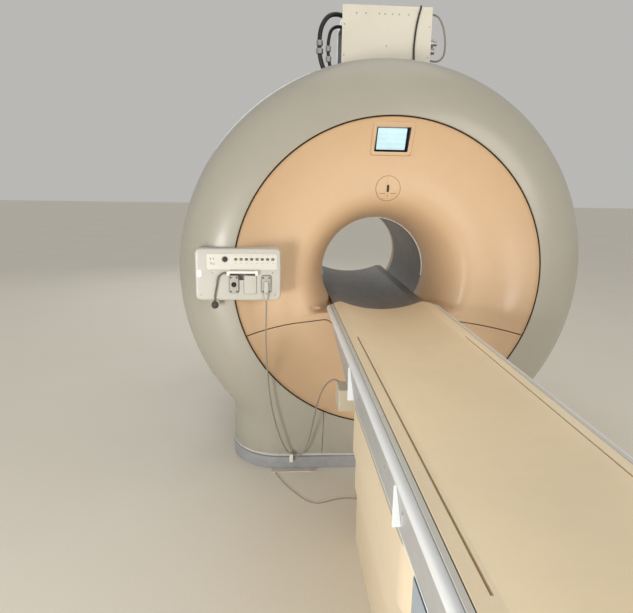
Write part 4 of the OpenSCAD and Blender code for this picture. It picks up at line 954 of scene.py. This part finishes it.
def control_panel():
    """Housing, key strip, keys and round button, with printed marks, the handle, the sockets and screws."""
    housing = soft_prism("control_panel_finish", front=FACE, back=lambda x, z: -front_height(x, z) - 0.0003,
                         fillet=0.010, n=10, **PANEL)
    bed = prism("bed_tool", rounded(-0.733, 1.1455, 0.3382, 0.0772, 0.006), TOOL_START, -0.961)
    recess = prism("recess_tool", rounded(-0.730, 1.076, 0.120, 0.040, 0.008), TOOL_START, -0.941)
    cut(housing, bed, recess, *key_wells(-0.9508))
    finish_piece(housing, "panel_grey", "control_panel_housing")
    lining = prism("recess_lining", rounded(-0.730, 1.076, 0.1196, 0.0396, 0.0078), -0.9430, -0.9412)
    finish_piece(lining, "recess_shade")
    strip = soft_prism("key_strip_finish", front=-0.966, back=-0.9613, fillet=0.0008, n=8, **STRIP)
    cut(strip, *key_wells(-0.955))
    finish_piece(strip, "strip_light", "key_strip")
    for k in KEYS:
        key = soft_prism(f"key_{k}_finish", key_x(k), KEY_Z, 0.014, 0.0112, 0.0025, -0.968, -0.9532, 0.0012, 6)
        finish_piece(key, "key_dark", f"key_{k}", body=f"key_{k}")
        stroke = rounded(key_x(k), KEY_Z, *KEY_STROKES[k % 3], 0.0003, 3)
        finish_piece(prism(f"key_{k}_mark", stroke, -0.96815, -0.9675), "strip_light", body=f"key_{k}")
    button = turned("round_button_finish", [(0.0005, -0.9705), (0.004, -0.97065), (0.0098, -0.9710),
                                            (0.0113, -0.9704), (0.0119, -0.9692), (0.0119, -0.955)],
                    BUTTON_X, KEY_Z, 48)
    finish_piece(button, "button_black", "round_button", body="stop_button")
    collar = turned("button_collar", [(0.0160, MARK_BACK), (0.0160, -0.9672), (0.0154, -0.9678),
                                      (0.0134, -0.9678), (0.0128, -0.9672), (0.0128, MARK_BACK)],
                    BUTTON_X, KEY_Z, 48)
    finish_piece(collar, "socket_grey")
    # Small printed marks beside, under and over the keys, shapes only: middle, width, height, corner, its steps
    symbols = [(x, z, w, h, 0.0008, 3) for x, z, w, h in (
        (-0.882, 1.163, 0.010, 0.0022), (-0.882, 1.158, 0.0022, 0.010), (-0.868, 1.160, 0.0022, 0.012),
        (-0.882, 1.138, 0.0022, 0.011), (-0.876, 1.138, 0.0022, 0.011), (-0.866, 1.139, 0.007, 0.0022),
        (-0.866, 1.133, 0.007, 0.0022))]
    for k in KEYS:
        symbols += [(key_x(k), 1.139, 0.006, 0.0014, 0.0005, 3), (key_x(k), 1.1755, 0.0022, 0.0022, 0.0009, 4)]
    marks = [prism("mark", rounded(*symbol), -0.9663, MARK_BACK) for symbol in symbols]
    finish_piece(joined("strip_marks", marks), "icon_grey")
    dress("panel_handle", "handle_white", round_by=0.0026, segments=3)
    sockets()
    screws = scatter("panel_screws", [(-0.876, FACE, 1.092), (-0.585, FACE, 1.092), (-0.934, FACE, 0.985),
                                      (-0.574, FACE, 0.985)], screw_part(0.0042, 0.0016), "screw_steel", seed=4)
    finish_piece(screws, "screw_steel")


def outline_strip(name, cx, cz, w, h, r, width, front, back):
    """A flat frame that follows a rounded rectangle on a face."""
    inner = rounded(cx, cz, w - 2 * width, h - 2 * width, max(r - width, 0.0008), 6)
    outer = rounded(cx, cz, w, h, r, 6)
    rows = [at_depth(edge, y) for edge, y in ((outer, back), (outer, front), (inner, front), (inner, back),
                                              (outer, back))]
    return grid_object(name, rows, wrap=True, flip=True)


def sockets():
    """Two flat sockets with dark corner screws and a ring, a blank cover between them and a status light."""
    bodies, rings, corners = [], [], []
    for x in (-0.772, -0.616):
        made = soft_prism("socket", x, SOCKET_Z, 0.044, 0.088, 0.009, -0.978, PAD_BACK, 0.004, 6)
        cut(made, turned("well", [(0.0130, -1.0), (0.0130, -0.971)], x, SOCKET_Z, 40))
        bodies.append(made)
        rings.append(turned("ring", [(0.0122, -0.972), (0.0122, -0.9795), (0.0112, -0.9802), (0.0096, -0.9802),
                                     (0.0088, -0.9795), (0.0088, -0.972)], x, SOCKET_Z, 40))
        rings.append(turned("pin", [(0.0040, -0.972), (0.0040, -0.9785), (0.0030, -0.9793)], x, SOCKET_Z, 20))
        rings.append(outline_strip("rim", x, SOCKET_Z, 0.0475, 0.0915, 0.010, 0.0016, EDGE_FRONT, EDGE_BACK))
        corners += [(x + sx * 0.0145, -0.978, z) for sx in (-1, 1) for z in (1.002, 1.070)]
    finish_piece(joined("panel_sockets_finish", bodies), "socket_grey", "panel_sockets")
    finish_piece(joined("socket_fittings", rings), "plug_dark")
    dots = scatter("socket_screws", corners, screw_part(0.0044, 0.0012), "plug_dark", seed=8)
    finish_piece(dots, "plug_dark")
    boot = soft_prism("socket_boot", -0.616, 1.024, 0.022, 0.060, 0.009, -0.990, -0.9785, 0.005, 8)
    finish_piece(boot, "plug_grey")
    cover = soft_prism("socket_blank", -0.694, 1.034, 0.058, 0.088, 0.006, -0.9685, PAD_BACK, 0.0015, 6)
    finish_piece(cover, "panel_grey")
    line = outline_strip("socket_blank_edge", -0.694, 1.034, 0.064, 0.094, 0.008, 0.0012, EDGE_FRONT, EDGE_BACK)
    finish_piece(line, "recess_shade")
    lamp = soft_prism("status_light", -0.9385, 1.088, 0.018, 0.032, 0.0089, -0.9678, PAD_BACK, 0.0012, 8)
    finish_piece(lamp, "lamp_white")


# ------------------------------------------------------------------------ cords
# Each cord's route, set along its line in the photograph
CABLE = [(-0.616, -0.976, 0.960), (-0.616, -0.976, 0.920), (-0.617, -0.976, 0.875), (-0.618, -0.976, 0.825),
         (-0.619, -0.976, 0.770), (-0.618, -0.975, 0.710), (-0.615, -0.974, 0.645), (-0.611, -0.972, 0.575),
         (-0.605, -0.971, 0.505), (-0.597, -0.968, 0.435), (-0.586, -0.961, 0.365), (-0.572, -0.951, 0.300),
         (-0.557, -0.939, 0.242), (-0.542, -0.928, 0.193), (-0.528, -0.918, 0.154), (-0.516, -0.910, 0.128),
         (-0.507, -0.904, 0.113), (-0.497, -0.901, 0.102), (-0.487, -0.900, 0.095), (-0.476, -0.900, 0.088),
         (-0.463, -0.900, 0.084), (-0.449, -0.901, 0.084), (-0.437, -0.903, 0.090), (-0.427, -0.907, 0.101),
         (-0.418, -0.912, 0.116), (-0.410, -0.919, 0.137), (-0.402, -0.928, 0.165), (-0.394, -0.942, 0.202),
         (-0.387, -0.963, 0.250), (-0.381, -0.990, 0.304), (-0.376, -1.023, 0.360), (-0.371, -1.062, 0.419),
         (-0.366, -1.103, 0.474), (-0.360, -1.147, 0.525), (-0.353, -1.194, 0.573), (-0.344, -1.241, 0.614),
         (-0.335, -1.287, 0.647), (-0.326, -1.331, 0.673), (-0.318, -1.370, 0.692), (-0.312, -1.405, 0.703),
         (-0.308, -1.440, 0.708)]
TUBE = [(-0.805, -0.978, 1.093), (-0.814, -0.978, 1.093), (-0.825, -0.978, 1.091), (-0.835, -0.977, 1.085),
        (-0.843, -0.977, 1.076), (-0.848, -0.976, 1.064), (-0.851, -0.975, 1.050), (-0.853, -0.975, 1.036),
        (-0.856, -0.974, 1.021), (-0.859, -0.973, 1.006), (-0.862, -0.973, 0.991), (-0.864, -0.972, 0.980),
        (-0.865, -0.972, 0.969), (-0.865, -0.972, 0.958)]
WIRE = [(x, y, 0.002) for x, y in (
    (-0.572, -0.925), (-0.564, -0.948), (-0.554, -0.972), (-0.543, -0.997), (-0.531, -1.024),
    (-0.517, -1.052), (-0.501, -1.082), (-0.483, -1.113), (-0.462, -1.146), (-0.440, -1.177),
    (-0.415, -1.205), (-0.387, -1.223), (-0.356, -1.227), (-0.325, -1.217), (-0.295, -1.204),
    (-0.262, -1.194), (-0.227, -1.190), (-0.192, -1.192), (-0.160, -1.203), (-0.133, -1.226),
    (-0.112, -1.258), (-0.098, -1.296), (-0.090, -1.336), (-0.086, -1.378), (-0.084, -1.420),
    (-0.084, -1.460))]


def smooth_route(points, steps=8):
    """Points of a smooth curve through the given ones."""
    out = []
    last = len(points) - 1
    for i in range(last):
        a, b, c, d = (Vector(points[min(max(i + k, 0), last)]) for k in (-1, 0, 1, 2))
        for k in range(steps):
            u = k / steps
            out.append(0.5 * (2 * b + (c - a) * u + (2 * a - 5 * b + 4 * c - d) * u * u
                              + (3 * b - a - 3 * c + d) * u ** 3))
    out.append(Vector(points[last]))
    return out


def cord_curve(name, points, diameter, sides=6):
    """A round cord as a curve whose own line is its centreline."""
    curve = bpy.data.curves.new(name, "CURVE")
    curve.dimensions = "3D"
    curve.bevel_depth = diameter / 2
    curve.bevel_resolution = sides
    curve.use_fill_caps = True
    line = curve.splines.new("POLY")
    line.points.add(len(points) - 1)
    for point, place in zip(line.points, points):
        point.co = (*place, 1)
    line.use_smooth = True
    return add_object(name, curve)


def cords():
    """The three cords as curves, then the bulb and the plugs at their ends."""
    made = {}
    for node, route, width, slot in (("panel_cable", CABLE, 0.008, "cable_sleeve"),
                                     ("call_tube", TUBE, 0.009, "tube_rubber"),
                                     ("floor_wire", WIRE, 0.004, "cable_sleeve")):
        line = smooth_route(route)
        obj = cord_curve(node + "_finish", line, width)
        obj.data.materials.append(MATERIALS[slot])
        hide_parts(node)
        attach(obj, "scanner")
        made[node] = (obj, line)
    bulb_profile = [(0.0055, 0.0200), (0.0062, 0.0190), (0.0066, 0.0165), (0.0068, 0.0150)]
    bulb_profile += [(0.018 * math.cos(math.radians(a)), -0.003 + 0.019 * math.sin(math.radians(a)))
                     for a in range(64, -85, -8)]
    bulb_profile.append((0.0008, -0.0221))
    bulb = lathe("call_bulb_finish", bulb_profile, (-0.865, -0.972, 0.938), "z", 40)
    finish_piece(bulb, "bulb_rubber", "call_bulb")
    plug = lathe("panel_plug_finish", [(0.0050, 0.960), (0.0062, 0.961), (0.0062, 0.9665), (0.0056, 0.9675),
                                       (0.0064, 0.9685), (0.0064, 0.972), (0.0084, 0.973), (0.0090, 0.974),
                                       (0.0090, 0.991), (0.0086, 0.9919)], (-0.616, -0.976, 0), "z", 36)
    finish_piece(plug, "plug_grey", "panel_plug")
    tip, foot = CABLE[-1], -1.4648
    end = lathe("table_plug_finish", [(0.0048, tip[1]), (0.0060, tip[1] - 0.001), (0.0060, tip[1] - 0.009),
                                      (0.0094, tip[1] - 0.0100), (0.0100, tip[1] - 0.0112),
                                      (0.0100, foot + 0.004), (0.0094, foot)], (tip[0], 0, tip[2]), "y", 36)
    finish_piece(end, "plug_dark", "table_plug")
    ribs = []
    for k in range(3):
        y = tip[1] - 0.0022 - 0.0025 * k
        ribs.append(lathe("rib", [(0.0060, y), (0.0066, y - 0.0005), (0.0066, y - 0.0012),
                                  (0.0060, y - 0.0017)], (tip[0], 0, tip[2]), "y", 30))
    finish_piece(joined("table_plug_ribs", ribs), "plug_dark")
    obj, line = made["panel_cable"]
    obj, line = made["call_tube"]
    obj, line = made["floor_wire"]


# ------------------------------------------------------------------------ table
def table():
    """The tabletop, its frame and covers, and the drive inside."""
    dress("tabletop", "top_beige", "tabletop", 0.0012)
    dress("table_frame", "frame_grey", round_by=0.0012)
    dress("bumper_rails", "rail_grey", round_by=0.0025, segments=3)
    dress("side_bands", "band_grey", round_by=0.0018)
    for node in ("upper_table_cover", "middle_table_cover", "lower_table_cover"):
        dress(node, "cover_beige", round_by=0.004, segments=3)
    dress("foot_end_cover", "foot_blue", round_by=0.004, segments=3)
    dress("wedge_brackets", "bracket_white")
    dress("table_socket_box", "box_white", round_by=0.004, segments=3)
    dress("lift_column", "frame_grey", round_by=0.002)
    dress("table_base_frame", "base_steel", round_by=0.002)
    dress("drive_motor", "motor_dark")
    dress("drive_pulley", "pulley_alu", "drive_pulley", 0.0006)
    dress("idler_pulley", "pulley_alu", "idler_pulley", 0.0006)
    dress("drive_belt", "belt_rubber", round_by=0.0004)
    table_details()


def table_details():
    """Screws on the side bands, the two fittings of the socket box and a thin bright line along each band."""
    band_face = 0.2912
    for name, side, seed in (("band_screws_left", -1, 11), ("band_screws_right", 1, 12)):
        places = [(side * band_face, y, 0.820) for y in (-1.650, -1.900, -2.350, -2.560, -2.900, -3.120)]
        made = scatter(name, places, screw_part(0.0045, 0.0018, "x", side), "screw_steel", (1, 0, 0), seed)
        finish_piece(made, "screw_steel")
    fittings = [lathe("fitting", [(0.0045, -1.4690), (0.0050, -1.4735), (0.0070, -1.4735), (0.0080, -1.4720),
                                  (0.0080, -1.4648)], (-0.272, 0, z), "y", 30) for z in (0.702, 0.664)]
    finish_piece(joined("box_sockets", fittings), "plug_dark")
    edges = []
    for near, far in ((-0.2786, -0.2772), (0.2772, 0.2786)):
        edges.append(block("edge", (near, -3.199, 0.7225), (far, -1.46, 0.7275), 0.0005))
    finish_piece(joined("band_bright_edge", edges), "bracket_white")


# ----------------------------------------------------------------------- turret
HOSES = {
    "turret_cable": (0.009, "hose_black", [
        (0.192, -0.462, 2.398), (0.192, -0.480, 2.424), (0.190, -0.498, 2.431), (0.187, -0.510, 2.418),
        (0.178, -0.512, 2.384), (0.168, -0.512, 2.330), (0.162, -0.512, 2.270), (0.160, -0.512, 2.220),
        (0.163, -0.512, 2.165), (0.165, -0.512, 2.110), (0.166, -0.509, 2.055), (0.166, -0.480, 2.020)]),
    "turret_hose_1": (0.024, "hose_black", [
        (-0.100, -0.350, 2.310), (-0.150, -0.370, 2.365), (-0.220, -0.400, 2.398), (-0.285, -0.430, 2.385),
        (-0.325, -0.445, 2.330), (-0.337, -0.450, 2.260), (-0.333, -0.450, 2.180), (-0.305, -0.440, 2.105),
        (-0.250, -0.420, 2.040)]),
    "turret_hose_2": (0.018, "hose_black", [
        (-0.100, -0.310, 2.270), (-0.160, -0.330, 2.325), (-0.220, -0.360, 2.350), (-0.268, -0.395, 2.325),
        (-0.287, -0.425, 2.260), (-0.287, -0.432, 2.190), (-0.270, -0.425, 2.115), (-0.235, -0.400, 2.050)]),
    "turret_loop": (0.010, "cable_sleeve", [
        (0.225, -0.440, 2.385), (0.262, -0.448, 2.405), (0.300, -0.450, 2.392), (0.326, -0.450, 2.350),
        (0.340, -0.450, 2.300), (0.345, -0.450, 2.250), (0.340, -0.450, 2.205), (0.318, -0.450, 2.178),
        (0.288, -0.450, 2.172), (0.250, -0.446, 2.180)])}


def hose(name, width, slot, points):
    """A hose as a plain mesh."""
    made = cord_curve(name, smooth_route(points, 6), width, 5)
    bpy.context.view_layer.update()
    graph = bpy.context.evaluated_depsgraph_get()
    mesh = bpy.data.meshes.new_from_object(made.evaluated_get(graph))
    bpy.data.objects.remove(made)
    finish_piece(add_object(name, mesh), slot)


def turret():
    """Plate and frame with screws and hoses, the cold head and the outlet, and the hoses' fittings."""
    for node, slot in (("turret_frame", "turret_steel"), ("turret_front_plate", "turret_white"),
                       ("cold_head", "cold_head_steel"), ("quench_outlet", "pipe_steel")):
        dress(node, slot, round_by=0.002)
    plate_face = -0.505
    places = [(x, plate_face, z) for x in (-0.2115, 0.2395) for z in (2.090, 2.180, 2.330)]
    places += [(x, plate_face, 2.385) for x in (-0.150, -0.100, -0.030, 0.000, 0.040, 0.075, 0.125)]
    places.append((0.014, plate_face, 2.230))
    screws = scatter("plate_screws", places, screw_part(0.0040, 0.002), "screw_steel", seed=21)
    finish_piece(screws, "screw_steel")
    for name, (width, slot, points) in HOSES.items():
        hose(name, width, slot, points)
    fittings = []
    for x, y, z, r in ((-0.336, -0.450, 2.245, 0.017), (-0.336, -0.450, 2.205, 0.019),
                       (-0.288, -0.430, 2.222, 0.014), (-0.286, -0.431, 2.170, 0.015)):
        fittings.append(lathe("nut", [(r - 0.002, z - 0.014), (r, z - 0.012), (r, z + 0.012),
                                      (r - 0.002, z + 0.014)], (x, y, 0), "z", 6))
    for z, r, reach in ((2.262, 0.022, 0.296), (2.222, 0.026, 0.284), (2.182, 0.018, 0.262)):
        fittings.append(lathe("spout", [(r, 0.228), (r, reach - 0.020), (r * 0.6, reach - 0.016),
                                        (r * 0.6, reach)], (0, -0.450, z), "x", 24))
    finish_piece(joined("turret_fittings", fittings), "pipe_steel")


# ------------------------------------------------------------------------ magnet
def magnet():
    """The vessel with what lies in it, the bore, the plinth and the side covers."""
    dress("magnet_base", "base_steel", round_by=0.002)
    dress("cryostat", "vessel_steel", round_by=0.004)
    dress("gradient_coil", "coil_resin", round_by=0.002)
    dress("rf_body_coil", "coil_board", round_by=0.002)
    dress("bore_liner", "liner_grey", round_by=0.001)
    throat_trim()
    dress("bore_bridge", "bridge_grey", round_by=0.003, segments=3)
    dress("plinth_skirt", "plinth_blue", round_by=0.004, segments=3)
    dress("left_side_cover", "ring_shell")
    dress("right_side_cover", "ring_shell")
    dress("cable_clip", "clip_white")
    dress("threshold_plate", "threshold_metal")


def throat_trim():
    """A bead where the flare meets the bore liner, from one side of the bridge over to the other, coloured
    white as a painted highlight of the rim.
    """
    section = ((0.2960, -0.4045), (0.2970, -0.4060), (0.3004, -0.4060), (0.3004, -0.3960), (0.2960, -0.3960))
    rows = []
    for k in range(121):
        a = math.radians(-8 + 196 * k / 120)
        rows.append([(r * math.cos(a), y, BORE_H + r * math.sin(a)) for r, y in section])
    finish_piece(grid_object("throat_trim", rows, wrap=True, cap_first=True, cap_last=True), "handle_white")


# ------------------------------------------------------------------------- stage
def stage():
    """Pale floor, even surroundings and four soft lamps."""
    floor = grid_object("floor", [[(-30, -30, 0), (30, -30, 0)], [(-30, 30, 0), (30, 30, 0)]])
    skin(floor, "floor_pale")
    world = bpy.data.worlds.new("studio")
    bpy.context.scene.world = world
    world.use_nodes = True
    back = world.node_tree.nodes["Background"]
    back.inputs["Color"].default_value = linear(232, 231, 228)
    back.inputs["Strength"].default_value = 0.60
    # place, aim, diameter, watts and tint
    for name, place, aim, size, power, tint in (
            ("key_light", (2.6, -5.4, 2.2), (0.1, -0.6, 0.7), 2.6, 88, (1.0, 0.95, 0.88)),
            ("fill_light", (-2.7, -4.7, 0.7), (-0.4, -0.9, 0.4), 1.3, 90, (1.0, 0.98, 0.95)),
            ("top_light", (0.3, -0.6, 5.2), (0, -0.8, 0.5), 3.4, 25, (1.0, 0.97, 0.92)),
            ("back_light", (-1.5, 5.0, 3.6), (0, 0, 1.2), 3.0, 45, (0.95, 0.97, 1.0))):
        data = bpy.data.lights.new(name, "AREA")
        data.shape = "DISK"
        data.size = size
        data.energy = power
        data.color = tint
        made = add_object(name, data)
        made.location = place
        made.rotation_mode = "QUATERNION"
        made.rotation_quaternion = (Vector(aim) - Vector(place)).to_track_quat("-Z", "Y")


def camera():
    """The photograph's view: place, lens and the three turns from level, looking along +Y."""
    place = (-0.576, -3.651, 1.547)
    yaw, pitch, roll = 0.077, 0.227, 0.017
    data = bpy.data.cameras.new("camera")
    data.sensor_width = 36
    data.lens = 31.73
    data.clip_start, data.clip_end = 0.05, 100
    made = add_object("camera", data)
    look = Vector((math.sin(yaw) * math.cos(pitch), math.cos(yaw) * math.cos(pitch), -math.sin(pitch)))
    right = Vector((math.cos(yaw), -math.sin(yaw), 0))
    up = right.cross(look)
    across = right * math.cos(roll) + up * math.sin(roll)
    above = up * math.cos(roll) - right * math.sin(roll)
    turn = Matrix((across, above, -look)).transposed().to_4x4()
    turn.translation = place
    made.matrix_world = turn
    bpy.context.scene.camera = made


random.seed(7)
camera()
stage()
magnet()
ring_covers()
front_panels()
ledge_lips()
display()
alignment_light()
control_panel()
cords()
table()
turret()

bpy.context.scene.view_settings.view_transform = "Standard"
